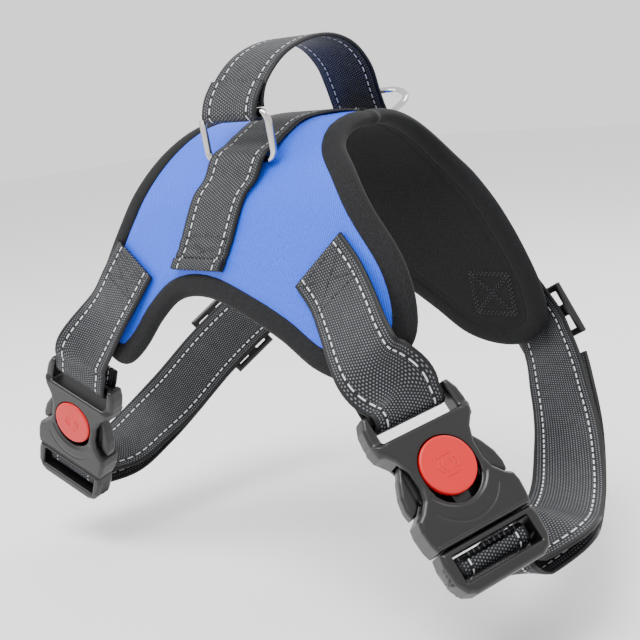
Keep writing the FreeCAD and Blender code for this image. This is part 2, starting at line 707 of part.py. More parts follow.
def make_slider(which, placement):
    """A flat three-bar slider."""
    body = new_body(which + "_slider", placement)
    outline = sketch_on(body, which + "_slider_outline")
    rectangle(outline, ("-Dimensions.slider_wide / 2", "-Dimensions.slider_tall / 2"),
              ("Dimensions.slider_wide / 2", "Dimensions.slider_tall / 2"))
    pad(body, which + "_slider_plate", outline, "Dimensions.slider_thick")
    inner = "(Dimensions.slider_wide / 2 - Dimensions.slider_rail)"
    far = "(Dimensions.slider_tall / 2 - Dimensions.slider_rail)"
    near = far + " - Dimensions.slider_slot_tall"
    for name, low, high in (("upper", near, far), ("lower", "-" + far, "-(%s)" % near)):
        slot = sketch_on(body, "%s_slider_%s_outline" % (which, name))
        rectangle(slot, ("-" + inner, low), (inner, high))
        pocket(body, "%s_slider_%s_slot" % (which, name), slot)
    return body


def slider_placement(which):
    """On the outer face of the lower strap, long side across it."""
    stop = SLIDER_STOPS[which]
    before, under, after = LOWER_ROUTES[which][stop - 1:stop + 2]
    facing = Vector(*under[1]).normalize()
    along = (Vector(*before[0]) - Vector(*after[0])).normalize()
    across = along.cross(facing).normalize()
    facing = across.cross(along).normalize()
    lift = (dim("web_thick") + dim("slider_thick")) / 2 + SLIDER_LIFT
    middle = Vector(*under[0]) + facing * lift
    return FreeCAD.Placement(middle, Rotation(across, along, facing, "XYZ")), -along


def make_buckles():
    for which, (centre, turn) in BUCKLES.items():
        placement = FreeCAD.Placement(centre, turn)
        make_housing(which, placement)
        make_tongue(which, placement)
        make_prong(which, -1, placement)
        make_prong(which, 1, placement)
        make_button(which, placement)
        make_slider(which, slider_placement(which)[0])


def make_rings():
    make_handle_ring(FreeCAD.Placement(HANDLE_RING_PLACE, Rotation(Vector(1, 0, 0), HANDLE_RING_TURN)))
    make_dee_ring(FreeCAD.Placement(DEE_PLACE, Rotation(Vector(1, 0, 0), DEE_TURN)))


# ---------------------------------------------------------------- output

NODES = ["inner_lining", "foam_pad", "outer_panel", "edge_binding", "center_strap", "handle_strap",
         "handle_ring", "d_ring"]
for which in BUCKLES:
    NODES += [which + "_" + piece for piece in (
        "upper_strap", "buckle_housing", "lock_button", "buckle_tongue", "prong_left", "prong_right",
        "slider", "lower_strap", "return_ply")]


def write_parts():
    failed = [item.Name for item in doc.Objects if {"Invalid", "Error"} & set(item.State)]
    by_label = {item.Label: item for item in doc.Objects}
    for node in NODES:
        shape = by_label[node].Shape
        if shape.isNull() or not shape.isValid() or shape.Volume <= 0:
            failed.append(node)
    if failed:
        raise SystemExit("failed: " + ", ".join(failed))
    os.makedirs("parts", exist_ok=True)
    for node in NODES:
        shape = by_label[node].Shape
        shape.exportStep("parts/%s.step" % node)
        print("%-24s %10.0f mm3  %d solid" % (node, shape.Volume, len(shape.Solids)))


make_saddle()
build_webbing()
make_rings()
make_buckles()
doc.recompute()
write_parts()
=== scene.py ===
import math

import bmesh
import bpy
import numpy as np
from mathutils import Euler, Matrix, Vector
from mathutils.geometry import delaunay_2d_cdt


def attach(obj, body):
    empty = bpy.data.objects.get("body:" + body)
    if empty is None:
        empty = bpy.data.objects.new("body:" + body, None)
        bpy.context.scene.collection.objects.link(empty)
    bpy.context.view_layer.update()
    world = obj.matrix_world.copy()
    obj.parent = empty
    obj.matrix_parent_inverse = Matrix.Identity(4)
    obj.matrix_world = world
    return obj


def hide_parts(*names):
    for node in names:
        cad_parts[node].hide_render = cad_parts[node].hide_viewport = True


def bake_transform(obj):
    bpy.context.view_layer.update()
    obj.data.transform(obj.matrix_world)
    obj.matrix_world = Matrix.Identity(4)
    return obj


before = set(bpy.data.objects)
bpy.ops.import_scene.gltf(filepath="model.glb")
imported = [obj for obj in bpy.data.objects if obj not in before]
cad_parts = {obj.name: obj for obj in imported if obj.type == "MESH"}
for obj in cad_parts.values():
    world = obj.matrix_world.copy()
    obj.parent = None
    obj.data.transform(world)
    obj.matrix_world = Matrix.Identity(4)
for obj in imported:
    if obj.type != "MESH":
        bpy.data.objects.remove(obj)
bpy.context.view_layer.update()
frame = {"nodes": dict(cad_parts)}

MM = 0.001

# ---- camera ----

CAMERA_TARGET = Vector((30, -31, -100)) * MM
CAMERA_AZIMUTH = math.radians(40.5)
CAMERA_ELEVATION = math.radians(13)
CAMERA_ROLL = math.radians(-6)
CAMERA_DISTANCE = 0.58
CAMERA_LENS = 60.75
CAMERA_SENSOR = 36
CAMERA_CLIP = 0.01


def new_object(name, data):
    obj = bpy.data.objects.new(name, data)
    bpy.context.scene.collection.objects.link(obj)
    return obj


def make_camera():
    level = Vector((math.cos(CAMERA_AZIMUTH), math.sin(CAMERA_AZIMUTH), 0))
    ahead = Vector((-level.y, level.x, 0))
    look = ahead * math.cos(CAMERA_ELEVATION) - Vector((0, 0, math.sin(CAMERA_ELEVATION)))
    turn = Matrix.Rotation(-CAMERA_ROLL, 3, look)
    right = turn @ level
    up = turn @ level.cross(look)
    camera = new_object("camera", bpy.data.cameras.new("camera"))
    camera.data.lens = CAMERA_LENS
    camera.data.sensor_width = CAMERA_SENSOR
    camera.data.clip_start = CAMERA_CLIP
    turned = Matrix((right, up, -look)).transposed().to_4x4()
    camera.matrix_world = Matrix.Translation(CAMERA_TARGET - look * CAMERA_DISTANCE) @ turned
    bpy.context.scene.camera = camera


# ---- object's own sizes ----

# The saddle is an arch: a flat crown, rounded shoulders and straight sides, narrower at the neck.
FLAT_HALF = 8
NECK_HALF = 0.5
NECK_X = -115
MIDDLE_X = -10
SHOULDER_RADIUS = 52
SHOULDER_TURN = math.radians(76)
WEB_WIDTH = 38
WEB_THICK = 2

# The saddle's two side outlines as (along the back, level): crown, girth lobe, arch, chest lobe, neck.
NEAR_OUTLINE = [
    (56, 24), (58, 6), (64, -5), (79, -17), (96, -36), (113, -56), (122, -76), (122, -93),
    (109, -107), (90, -115), (66, -111), (43, -99), (18, -89), (-9, -81), (-32, -83), (-48, -95),
    (-62, -112), (-76, -122), (-91, -120), (-105, -107), (-108, -84), (-97, -59), (-83, -35),
    (-68, -12), (-60, 3), (-58, 24),
]
FAR_OUTLINE = [
    (56, 24), (56, 6), (59, -8), (66, -22), (77, -36), (88, -54), (98, -78), (105, -104),
    (104, -125), (90, -138), (70, -141), (48, -135), (28, -119), (4, -102), (-18, -95), (-36, -98),
    (-52, -110), (-66, -121), (-82, -124), (-97, -115), (-106, -98), (-104, -76), (-95, -54),
    (-82, -31), (-68, -10), (-60, 4), (-58, 24),
]

# Each buckle's middle, and its turn about Z, Y and X in degrees.
BUCKLES = {
    "chest": (Vector((-133, -75, -162)), (9.4, 26.1, 98.8)),
    "girth": (Vector((142, -90, -146)), (68, -10, 52)),
}


def turn_of(yaw, pitch, roll):
    return Euler([math.radians(angle) for angle in (roll, pitch, yaw)], "XYZ").to_matrix()


def catmull_rom(before, start, end, after, t):
    return (start * 2 + (end - before) * t
            + (before * 2 - start * 5 + end * 4 - after) * t * t
            + (start * 3 - before - end * 3 + after) * t * t * t) * 0.5


def spanned(spans, samples):
    return [catmull_rom(*span, step / samples) for span in spans for step in range(samples)]


def smooth(values, samples):
    padded = [values[0] * 2 - values[1]] + list(values) + [values[-1] * 2 - values[-2]]
    spans = [padded[k:k + 4] for k in range(len(padded) - 3)]
    return spanned(spans, samples) + [values[-1]]


def smooth_closed(values, samples):
    count = len(values)
    spans = [[values[(k + shift) % count] for shift in (-1, 0, 1, 2)] for k in range(count)]
    return spanned(spans, samples)


def half_at(x):
    along = (MIDDLE_X - x) / (MIDDLE_X - NECK_X)
    return FLAT_HALF + (NECK_HALF - FLAT_HALF) * min(max(along, 0.0), 1.0)


def section_at(half, angle, height, drop=0.0):
    reach = SHOULDER_RADIUS + height
    y = half + reach * math.sin(angle) + drop * math.cos(angle)
    z = reach * math.cos(angle) - SHOULDER_RADIUS - drop * math.sin(angle)
    return y, z


def placed(side, x, angle, height, drop):
    """A stop on the saddle: its place, and the way out of the saddle there."""
    y, z = section_at(half_at(x), angle, height, drop)
    lean = (NECK_HALF - FLAT_HALF) / (MIDDLE_X - NECK_X) if x < MIDDLE_X else 0.0
    return (x, side * y, z), (lean * math.sin(angle), side * math.sin(angle), math.cos(angle))


def on_back(x, degrees, height):
    return placed(math.copysign(1, degrees), x, math.radians(abs(degrees)), height, 0.0)


def on_side(side, x, z, height):
    level = section_at(half_at(x), SHOULDER_TURN, height)[1]
    return placed(side, x, SHOULDER_TURN, height, (level - z) / math.sin(SHOULDER_TURN))


# The saddle laid out flat: x along the back and a round it, from the crown to either side.

MIDDLE_HEIGHT = 3.2
ROUND = (SHOULDER_RADIUS + MIDDLE_HEIGHT) * SHOULDER_TURN
OUTLINE_SAMPLES = 8
RIM_STEP = 1.6


def lay_flat(x, z):
    """How far round the saddle a level z of its middle layer is."""
    reach = SHOULDER_RADIUS + MIDDLE_HEIGHT
    half = half_at(x)
    bend_z = section_at(half, SHOULDER_TURN, MIDDLE_HEIGHT)[1]
    if z < bend_z:
        return half + ROUND + (bend_z - z) / math.sin(SHOULDER_TURN)
    cosine = (z + SHOULDER_RADIUS) / reach
    if cosine <= 1:
        return half + reach * math.acos(cosine)
    return half - (z - MIDDLE_HEIGHT)


def fold(x, a, height):
    """The place in the saddle of a laid-out point, at a height above the underside."""
    side = 1 if a >= 0 else -1
    around = abs(a)
    half = half_at(x)
    if around <= half:
        return Vector((x, a, height))
    angle = min((around - half) / (SHOULDER_RADIUS + MIDDLE_HEIGHT), SHOULDER_TURN)
    drop = max(around - half - ROUND, 0.0)
    y, z = section_at(half, angle, height, drop)
    return Vector((x, side * y, z))


def rim_line():
    """The saddle's edge, laid out flat, evenly stepped: near side then far side."""
    halves = []
    for outline, side in ((NEAR_OUTLINE, -1), (FAR_OUTLINE, 1)):
        points = smooth_closed([Vector(corner) for corner in outline], OUTLINE_SAMPLES)
        laid = [Vector((p.x, side * lay_flat(p.x, p.y))) for p in points]
        start = next(k for k in range(len(laid)) if laid[k - 1].y * side <= 0 < laid[k].y * side)
        laid = laid[start:] + laid[:start]
        halves.append([p for p in laid if p.y * side > 0])
    near, far = halves
    return even_ring(near + far[::-1], RIM_STEP)


def lengths_along(points):
    return np.concatenate([[0], np.cumsum(np.linalg.norm(np.diff(points, axis=0), axis=1))])


def resampled(values, lengths, at):
    return np.stack([np.interp(at, lengths, column) for column in values.T], axis=1)


def even_ring(points, step):
    closed = np.array([tuple(p) for p in points] + [tuple(points[0])])
    lengths = lengths_along(closed)
    at = np.linspace(0, lengths[-1], int(lengths[-1] / step), endpoint=False)
    return resampled(closed, lengths, at)


def smooth_ring(ring, rounds):
    for _ in range(rounds):
        ring = 0.5 * ring + 0.25 * (np.roll(ring, 1, axis=0) + np.roll(ring, -1, axis=0))
    return ring


def inward_of(ring):
    ahead = np.roll(ring, -2, axis=0) - np.roll(ring, 2, axis=0)
    ahead /= np.linalg.norm(ahead, axis=1)[:, None]
    side = np.stack([-ahead[:, 1], ahead[:, 0]], axis=1)
    area = np.sum(ring[:, 0] * np.roll(ring[:, 1], -1) - np.roll(ring[:, 0], -1) * ring[:, 1])
    return side if area > 0 else -side


# ---- materials ----

def new_material(name, color, rough, metallic=0.0, specular=0.5, sheen=(0.0, 0.5)):
    material = bpy.data.materials.new(name)
    material.use_nodes = True
    shader = material.node_tree.nodes["Principled BSDF"]
    sockets = {
        "Base Color": (*color, 1), "Roughness": rough, "Metallic": metallic,
        "Specular IOR Level": specular, "Sheen Weight": sheen[0], "Sheen Roughness": sheen[1],
    }
    for key, value in sockets.items():
        shader.inputs[key].default_value = value
    return material, Wiring(material.node_tree), shader


def srgb(*values):
    """Linear colour from display values of 0 to 255."""
    return tuple(((v / 255 + 0.055) / 1.055) ** 2.4 if v > 10 else v / 255 / 12.92 for v in values)


class Wiring:
    """Short ways to add math nodes to a material."""

    def __init__(self, tree):
        self.tree = tree
        self.links = tree.links

    def node(self, kind, sockets=(), **values):
        """A new node with its settings, each given socket set to a value or joined to an output."""
        made = self.tree.nodes.new(kind)
        for key, value in values.items():
            setattr(made, key, value)
        for key, value in dict(sockets).items():
            if isinstance(value, (int, float, tuple)):
                made.inputs[key].default_value = value
            else:
                self.links.new(value, made.inputs[key])
        return made

    def math(self, operation, *terms):
        return self.node("ShaderNodeMath", enumerate(terms), operation=operation).outputs[0]

    def times(self, a, b):
        return self.math("MULTIPLY", a, b)

    def less(self, a, b):
        return self.math("SUBTRACT", a, b)

    def scaled(self, a, by, plus):
        return self.math("MULTIPLY_ADD", a, by, plus)

    def mix(self, factor, a, b):
        a, b = [(*end, 1) if isinstance(end, tuple) else end for end in (a, b)]
        return self.node("ShaderNodeMix", {0: factor, 6: a, 7: b}, data_type="RGBA").outputs[2]

    def noise(self, vector, scale, detail=2.0):
        sockets = {"Vector": vector, "Scale": scale, "Detail": detail}
        return self.node("ShaderNodeTexNoise", sockets).outputs["Fac"]

    def bump(self, height, strength, distance, shader):
        sockets = {"Strength": strength, "Distance": distance, "Height": height}
        self.links.new(self.node("ShaderNodeBump", sockets).outputs[0], shader.inputs["Normal"])

    def ramp(self, value, low, high):
        """0 up to low, 1 from high on."""
        sockets = {"Value": value, "From Min": low, "From Max": high}
        return self.node("ShaderNodeMapRange", sockets).outputs[0]

    def wave(self, value, pitch):
        return self.math("SINE", self.times(value, 2 * math.pi / pitch))

    def pulse(self, value, pitch, width, blur):
        """1 in a band of the given width once every pitch, 0 elsewhere, with soft sides."""
        phase = self.math("FRACT", self.math("DIVIDE", value, pitch))
        away = self.math("ABSOLUTE", self.less(phase, 0.5))
        return self.ramp(self.less(width / pitch / 2, away), -blur / pitch, blur / pitch)

    def band(self, value, centre, width, blur=0.12):
        away = self.math("ABSOLUTE", self.less(value, centre))
        return self.ramp(self.less(width / 2, away), -blur, blur)

    def place(self):
        return self.node("ShaderNodeTexCoord").outputs["Object"]

    def uv(self):
        made = self.node("ShaderNodeSeparateXYZ", {0: self.node("ShaderNodeUVMap").outputs[0]})
        return made.outputs[0], made.outputs[1]


RIB_PITCH = 1.15
PANEL_THREAD_PITCH = 0.9


def make_panel_fabric():
    """Blue ribbed weave: fine ribs, with lighter thread tops."""
    material, w, shader = new_material("panel_fabric", srgb(30, 88, 225), 0.6, sheen=(0.06, 0.4))
    u, v = w.uv()
    rib = w.wave(w.math("ADD", u, w.times(v, 0.32)), RIB_PITCH)
    thread = w.wave(w.less(v, w.times(u, 0.5)), PANEL_THREAD_PITCH)
    weave = w.math("ADD", w.times(rib, 0.5), w.times(thread, 0.5))
    spots = w.noise(w.place(), 900, 3)
    level = w.scaled(weave, 0.42, w.scaled(spots, 0.5, 0.22))
    color = w.mix(level, srgb(0, 36, 186), srgb(36, 110, 255))
    w.links.new(color, shader.inputs["Base Color"])
    w.bump(weave, 0.5, 0.00012, shader)
    return material


KNIT_ROUGH = 0.8


def make_knit(name, dark, light, pitch):
    """Black brushed knit: fine rows of small loops."""
    material, w, shader = new_material(name, dark, KNIT_ROUGH, specular=0.25, sheen=(0.04, 0.35))
    u, v = w.uv()
    rows = w.wave(w.math("ADD", u, w.times(v, 0.35)), pitch)
    loops = w.wave(v, pitch * 1.3)
    knit = w.scaled(rows, 0.6, w.times(loops, 0.4))
    level = w.scaled(knit, 0.2, w.noise(w.place(), 1400, 3))
    color = w.mix(w.ramp(level, 0.42, 0.85), dark, light)
    w.links.new(color, shader.inputs["Base Color"])
    w.bump(level, 0.5, 0.0001, shader)
    return material


# Webbing, in mm: thread tops across and along, and the two dashed lines sewn along it.
DOT_ACROSS = 1.42
DOT_ALONG = 1.5
DASH_FROM_EDGE = 6.0
DASH_WIDTH = 0.8
DASH_PITCH = 4.6
DASH_LENGTH = 3.0
PLAIN_EDGE = 1.6


def make_webbing():
    """Black webbing with a grid of bumped thread tops carrying painted highlights, and two reflective dashed
    lines.
    """
    material, w, shader = new_material("webbing", srgb(12, 12, 14), 0.55, specular=0.3)
    u, v = w.uv()
    across = w.pulse(u, DOT_ACROSS, 0.62, 0.16)
    along = w.pulse(v, DOT_ALONG, 0.66, 0.16)
    shifted = w.pulse(w.math("ADD", v, DOT_ALONG / 2), DOT_ALONG, 0.66, 0.16)
    odd = w.pulse(w.math("ADD", u, DOT_ACROSS / 2), DOT_ACROSS * 2, DOT_ACROSS, 0.05)
    even = w.less(1.0, odd)
    rows = w.math("MAXIMUM", w.times(along, odd), w.times(shifted, even))
    dots = w.times(across, rows)
    edge_away = w.less(WEB_WIDTH / 2, w.math("ABSOLUTE", u))
    line = w.band(edge_away, DASH_FROM_EDGE, DASH_WIDTH)
    dash = w.times(line, w.pulse(v, DASH_PITCH, DASH_LENGTH, 0.12))
    clear = w.less(1.0, w.band(edge_away, DASH_FROM_EDGE, 1.9))
    body = w.times(w.math("GREATER_THAN", edge_away, PLAIN_EDGE), clear)
    # Painted light: broad noise patches that brighten and dim the thread-top highlights, standing in for how
    # light falls along the strap.
    painted_light_patches = w.scaled(w.noise(w.place(), 220), 0.7, 0.32)
    painted_thread_highlight = w.times(w.times(dots, body), painted_light_patches)
    # Painted highlight: pale grey put on the raised thread tops of the black webbing, where light would
    # catch the yarn.
    color = w.mix(painted_thread_highlight, srgb(9, 9, 11), srgb(124, 127, 134))
    color = w.mix(dash, color, srgb(200, 201, 205))
    w.links.new(color, shader.inputs["Base Color"])
    w.links.new(w.scaled(dash, -0.25, 0.55), shader.inputs["Roughness"])
    height = w.math("ADD", w.times(dots, 0.8), w.times(dash, 0.5))
    w.bump(height, 0.6, 0.00014, shader)
    return material


GRAIN_SCALE = 2500


def make_plain(name, color, rough, metallic=0.0, grain=0.0):
    """A uniform finish with a faint moulded grain."""
    material, w, shader = new_material(name, color, rough, metallic)
    place = w.place()
    spots = w.noise(place, 60, 3)
    w.links.new(w.scaled(spots, rough * 0.35, rough * 0.82), shader.inputs["Roughness"])
    if grain:
        w.bump(w.noise(place, GRAIN_SCALE), grain, 0.00005, shader)
    return material


# ---- mesh making ----

def add_mesh(name, verts, faces, material, uvs=None, smooth_shaded=True):
    """A mesh from millimetre corners; uvs are given per corner point, in millimetres."""
    mesh = bpy.data.meshes.new(name)
    mesh.from_pydata([tuple(Vector(v) * MM) for v in verts], [], [tuple(int(i) for i in f) for f in faces])
    if uvs is not None:
        layer = mesh.uv_layers.new(name="UVMap")
        loops = np.zeros(len(mesh.loops), dtype=np.int32)
        mesh.loops.foreach_get("vertex_index", loops)
        table = np.array([tuple(uv) for uv in uvs], dtype=np.float32)
        layer.data.foreach_set("uv", table[loops].ravel())
    if smooth_shaded:
        mesh.polygons.foreach_set("use_smooth", [True] * len(mesh.polygons))
    mesh.update()
    mesh.materials.append(material)
    turned = bmesh.new()
    turned.from_mesh(mesh)
    bmesh.ops.recalc_face_normals(turned, faces=turned.faces)
    turned.to_mesh(mesh)
    turned.free()
    return new_object(name, mesh)


def swept(name, rows, material, uvs=None, closed_path=False):
    """A skin over rows of points, one closed row for each station."""
    count = len(rows)
    width = len(rows[0])
    verts = [p for row in rows for p in row]
    faces = []
    for i in range(count if closed_path else count - 1):
        here = i * width
        there = (i + 1) % count * width
        for j in range(width):
            beside = (j + 1) % width
            faces.append((here + j, here + beside, there + beside, there + j))
    if not closed_path:
        faces.append(tuple(range(width))[::-1])
        faces.append(tuple((count - 1) * width + j for j in range(width)))
    return add_mesh(name, verts, faces, material, uvs)


def file_under(obj, node, body=None):
    """Hides the CAD node that a piece stands for, and attaches the piece to the body it rides on, if one is
    given.
    """
    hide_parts(node)
    if body:
        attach(obj, body)


# ---- saddle ----

STEP = 1.7
PANEL_INSET = 8.5               # the cover runs on a little under the binding
FOAM_INSET = PANEL_INSET + 1.5
ROW_RISE = 0.87                 # of the step: rows of even triangles
DOME_REACH = 9
LINING_EDGE = 0.75


def cover_points(ring):
    """Evenly spread points inside a ring, kept clear of its edge."""
    low = ring.min(axis=0)
    high = ring.max(axis=0)
    xs = np.arange(low[0], high[0], STEP)
    points = []
    for k, a in enumerate(np.arange(low[1], high[1], STEP * ROW_RISE)):
        shift = STEP / 2 if k % 2 else 0
        points += [(x + shift, a) for x in xs]
    points = np.array(points)
    return points[inside_ring(points, ring) & (distance_to_ring(points, ring) > STEP * 0.6)]


def inside_ring(points, ring):
    x, y = points[:, 0], points[:, 1]
    inside = np.zeros(len(points), bool)
    for (x0, y0), (x1, y1) in zip(ring, np.roll(ring, -1, axis=0)):
        crosses = (y0 > y) != (y1 > y)
        at = (x1 - x0) * (y - y0) / (y1 - y0 + 1e-12) + x0
        inside ^= crosses & (x < at)
    return inside


def distance_to_ring(points, ring):
    best = np.full(len(points), 1e9)
    for start, end in zip(ring, np.roll(ring, -1, axis=0)):
        span = end - start
        size = max(float(span @ span), 1e-9)
        t = np.clip(((points - start) @ span) / size, 0, 1)
        gap = points - start - t[:, None] * span
        best = np.minimum(best, np.einsum("ij,ij->i", gap, gap))
    return np.sqrt(best)


def slab(name, ring, top_of, low_of, material):
    """A closed slab over a laid-out ring, between two height functions of the distance from its edge."""
    points = np.concatenate([ring, cover_points(ring)])
    count = len(ring)
    edges = [(k, (k + 1) % count) for k in range(count)]
    verts, _, faces, *_ = delaunay_2d_cdt([Vector(p) for p in points], edges, [], 1, 1e-6)
    points = np.array([tuple(v) for v in verts])
    away = distance_to_ring(points, ring)
    away[:count] = 0
    total = len(points)
    places = [fold(x, a, h) for (x, a), h in zip(points, top_of(points, away))]
    places += [fold(x, a, h) for (x, a), h in zip(points, low_of(points, away))]
    skin = [tuple(face) for face in faces]
    skin += [tuple(total + i for i in reversed(face)) for face in faces]
    skin += [(k, beside, total + beside, total + k) for k, beside in edges]
    return add_mesh(name, places, skin, material, list(points) * 2)


def puff(away, reach, size):
    """Rises from nothing at the edge to size at reach and beyond."""
    return size * np.sin(np.clip(away / reach, 0, 1) * math.pi / 2)


def ripple(points):
    """Slight unevenness of a stuffed cover."""
    x, a = points[:, 0], points[:, 1]
    return (0.10 * np.sin(x / 11.0 + a / 17.0) + 0.08 * np.sin(a / 9.0 - x / 23.0 + 1.3)
            + 0.05 * np.sin((x + a) / 5.5))


def domed(edge, rise):
    """The height of a layer that starts level at its edge and rises over DOME_REACH."""
    return lambda points, away: edge + puff(away, DOME_REACH, rise)


def panel_top(points, away):
    return 5.0 + puff(away, DOME_REACH, 1.5) + ripple(points) * np.clip(away / 12, 0, 1)


def lining_low(points, away):
    """The lining's underside, with the dent of a seam that runs round it."""
    seam = np.exp(-((away - 7.0) / 0.9) ** 2) * 0.55
    return LINING_EDGE - puff(away, 6, LINING_EDGE) + seam


def make_saddle(materials):
    rim = smooth_ring(rim_line(), 3)
    inward = inward_of(rim)
    cover_ring = even_ring(smooth_ring(rim + inward * PANEL_INSET, 2), STEP)
    foam_ring = even_ring(smooth_ring(rim + inward * FOAM_INSET, 2), STEP * 1.6)
    layers = [
        ("panel_cover", cover_ring, panel_top, domed(4.4, 0.6), "panel_fabric", "outer_panel"),
        ("foam_core", foam_ring, domed(2.9, 1.5), domed(2.6, -1.2), "foam", "foam_pad"),
        ("lining", cover_ring, domed(1.2, 0), lining_low, "lining_fabric", "inner_lining"),
    ]
    for piece, ring, top_of, low_of, slot, node in layers:
        layer = slab(piece, ring, top_of, low_of, materials[slot])
        file_under(layer, node, "root")
    return rim, inward


# Round the rolled edge, as (inward, height): panel side first, then the lining side, then inside.
BINDING_PROFILE = [
    (12.3, 5.35), (11.8, 6.4), (10.6, 7.0), (9.2, 7.3), (6.6, 7.35), (4.2, 7.05), (2.3, 6.3),
    (0.9, 4.9), (0.25, 3.2), (0.9, 1.5), (2.3, 0.2), (4.2, -0.45), (6.6, -0.75), (9.0, -0.7),
    (10.6, -0.35), (11.8, 0.25), (12.2, 1.3), (10.6, 1.5), (7.5, 1.5), (5.2, 1.8), (4.4, 3.2),
    (5.2, 4.6), (7.5, 5.0), (10.6, 5.1),
]


def make_binding(rim, inward, materials):
    profile = smooth_closed([Vector(p) for p in BINDING_PROFILE], 2)
    lengths = lengths_along(np.array([tuple(p) for p in profile]))
    along = lengths_along(rim)
    rows = []
    uvs = []
    for k, (place, aim) in enumerate(zip(rim, inward)):
        pucker = 0.16 * math.sin(along[k] * 0.9) + 0.12 * math.sin(along[k] * 0.37 + 1.0)
        row = []
        for j, p in enumerate(profile):
            x, a = place + aim * p.x
            lift = pucker * (1 if p.y > 6 else -1 if p.y < 0.3 else 0) * min(max(p.x - 5, 0) / 5, 1)
            row.append(fold(x, a, p.y - lift * 0.6))
            uvs.append((along[k], lengths[j]))
        rows.append(row)
    binding = swept("rolled_binding", rows, materials["binding_fabric"], uvs, closed_path=True)
    file_under(binding, "edge_binding", "root")


# ---- webbing ----

ON_PANEL = 7.9
ON_BINDING = 9.0
RING_X = 8
RING_ANGLE = -48
RING_HEIGHT = 9.4
DEE_ANGLE = 37
DEE_HEIGHT = 14.4
RING_WIRE = 3.8
RING_WIDE = 50
RING_TALL = 28
DEE_WIRE = 4
DEE_WIDE = 48
DEE_DEEP = 37
HANDLE_RING_TILT = Matrix.Rotation(math.radians(96), 3, "X")
DEE_TILT = Matrix.Rotation(math.radians(22), 3, "X")
HANDLE_RING_PLACE = Vector(on_back(RING_X, RING_ANGLE, RING_HEIGHT)[0])
DEE_PLACE = Vector(on_back(RING_X, DEE_ANGLE, DEE_HEIGHT)[0])
HANDLE_TOP_BAR = HANDLE_RING_PLACE + HANDLE_RING_TILT @ Vector((0, RING_TALL - RING_WIRE, 0))
WRAP = 3.5
DEE_WRAP = 3.8


def round_bar(centre, degrees, reach):
    angle = math.radians(degrees)
    out = Vector((0, math.cos(angle), math.sin(angle)))
    return tuple(centre + out * reach), tuple(-out)


def on_buckle(which, stops):
    centre, angles = BUCKLES[which]
    turn = turn_of(*angles)
    return [(tuple(centre + turn @ Vector(place)), tuple(turn @ Vector(facing))) for place, facing in stops]


def outer_ply(route, offset):
    return [(tuple(Vector(place) + Vector(facing).normalized() * offset), facing) for place, facing in route]


TOP_FOLD = [((0, 52, 6), (0, 0.1, 1)), ((0, 42, 5.6), (0, 0, 1)), ((0, 34, 5.2), (0, -0.2, 1)),
            ((0, 29, 3.2), (0, -0.8, 0.6)), ((0, 27.6, 0), (0, -1, 0)), ((0, 29, -3.2), (0, -0.8, -0.6)),
            ((0, 34, -5.2), (0, 0.1, -1)), ((0, 44, -5.2), (0, 0, -1))]
UPPER_ENTRY = [((1, -37.8, -14), (0, -1, 0)), ((0, -36.5, -5), (0, -1, 0)), ((0, -36.5, 0.4), (0, -1, 0))]
LOWER_ENTRY = [((1, -48, -14), (0, -1, 0)), ((0, -44.8, -5), (0, -1, 0)), ((0, -43.8, 0), (0, -0.7, 0.7)),
               ((0, -40.6, 1.6), (0, 0, 1)), ((0, -38.6, 1.6), (0, 0, 1))]
GIRTH_TURN = [((52, -40, -31), (0, -0.6, -0.8)), ((26, -43, -32), (0, -0.8, -0.6)),
              ((9, -42, -25), (0, -0.95, -0.3))]

ROUTES = {
    "center_strap": [
        on_side(-1, -16, -66, ON_PANEL), on_side(-1, -10, -52, ON_PANEL), on_back(-3, -68, ON_PANEL),
        on_back(RING_X - 4, -58, ON_BINDING), on_back(RING_X, RING_ANGLE, RING_HEIGHT + WRAP),
        on_back(RING_X, -38, ON_BINDING), on_back(RING_X, -28, ON_PANEL), on_back(RING_X, -10, ON_PANEL),
        on_back(RING_X, 10, ON_PANEL), on_back(RING_X, 34, ON_PANEL), on_back(RING_X - 3, 54, ON_PANEL),
        on_back(0, 68, ON_PANEL), on_side(1, -7, -52, ON_PANEL), on_side(1, -13, -66, ON_PANEL),
    ],
    "handle_strap": [
        ((8.4, -50.6, 28.6), (0, 0.84, -0.54)), ((8, -56.8, 20.4), (0, 0.95, -0.3)),
        round_bar(HANDLE_TOP_BAR, 190, WRAP), round_bar(HANDLE_TOP_BAR, 230, WRAP),
        round_bar(HANDLE_TOP_BAR, 270, WRAP), round_bar(HANDLE_TOP_BAR, 310, WRAP),
        round_bar(HANDLE_TOP_BAR, 350, WRAP), ((8, -52.8, 19), (0, 1, -0.2)),
        ((8, -47.5, 29), (0, 0.8, -0.55)), ((9, -34, 40), (0, 0.5, -0.85)), ((10, -16, 46.5), (0, 0.2, -1)),
        ((11, 3, 48), (0, -0.12, -1)), ((12, 20, 43), (0, -0.45, -0.9)), ((12, 33, 32), (0, -0.75, -0.65)),
        ((9.5, 42.5, 19), (0, -0.92, -0.4)), ((8, 48.5, 9), (0, -0.93, -0.35)),
        round_bar(DEE_PLACE, 15, DEE_WRAP), round_bar(DEE_PLACE, -20, DEE_WRAP),
        round_bar(DEE_PLACE, -56, DEE_WRAP),
        on_back(RING_X, 36, 10.25), on_back(RING_X, 28, 10.3), on_back(RING_X, 20, 10.3),
    ],
    "chest_upper_strap": [
        on_side(-1, -69, -62, ON_PANEL + 0.7), on_side(-1, -79, -77, ON_PANEL + 2),
        on_side(-1, -90, -94, ON_BINDING + 2.8),
    ] + on_buckle("chest", TOP_FOLD),
    "girth_upper_strap": [
        on_side(-1, 67, -58, ON_PANEL), on_side(-1, 79, -69, ON_PANEL + 1.2),
        ((91, -83, -80.5), (0.04, -0.96, 0.26)), ((103, -92, -92), (0.08, -0.95, 0.27)),
        ((112, -95.5, -101), (0.22, -0.94, 0.26)), ((121, -89.8, -109.8), (0.53, -0.65, 0.54)),
    ] + on_buckle("girth", TOP_FOLD[2:]),
}
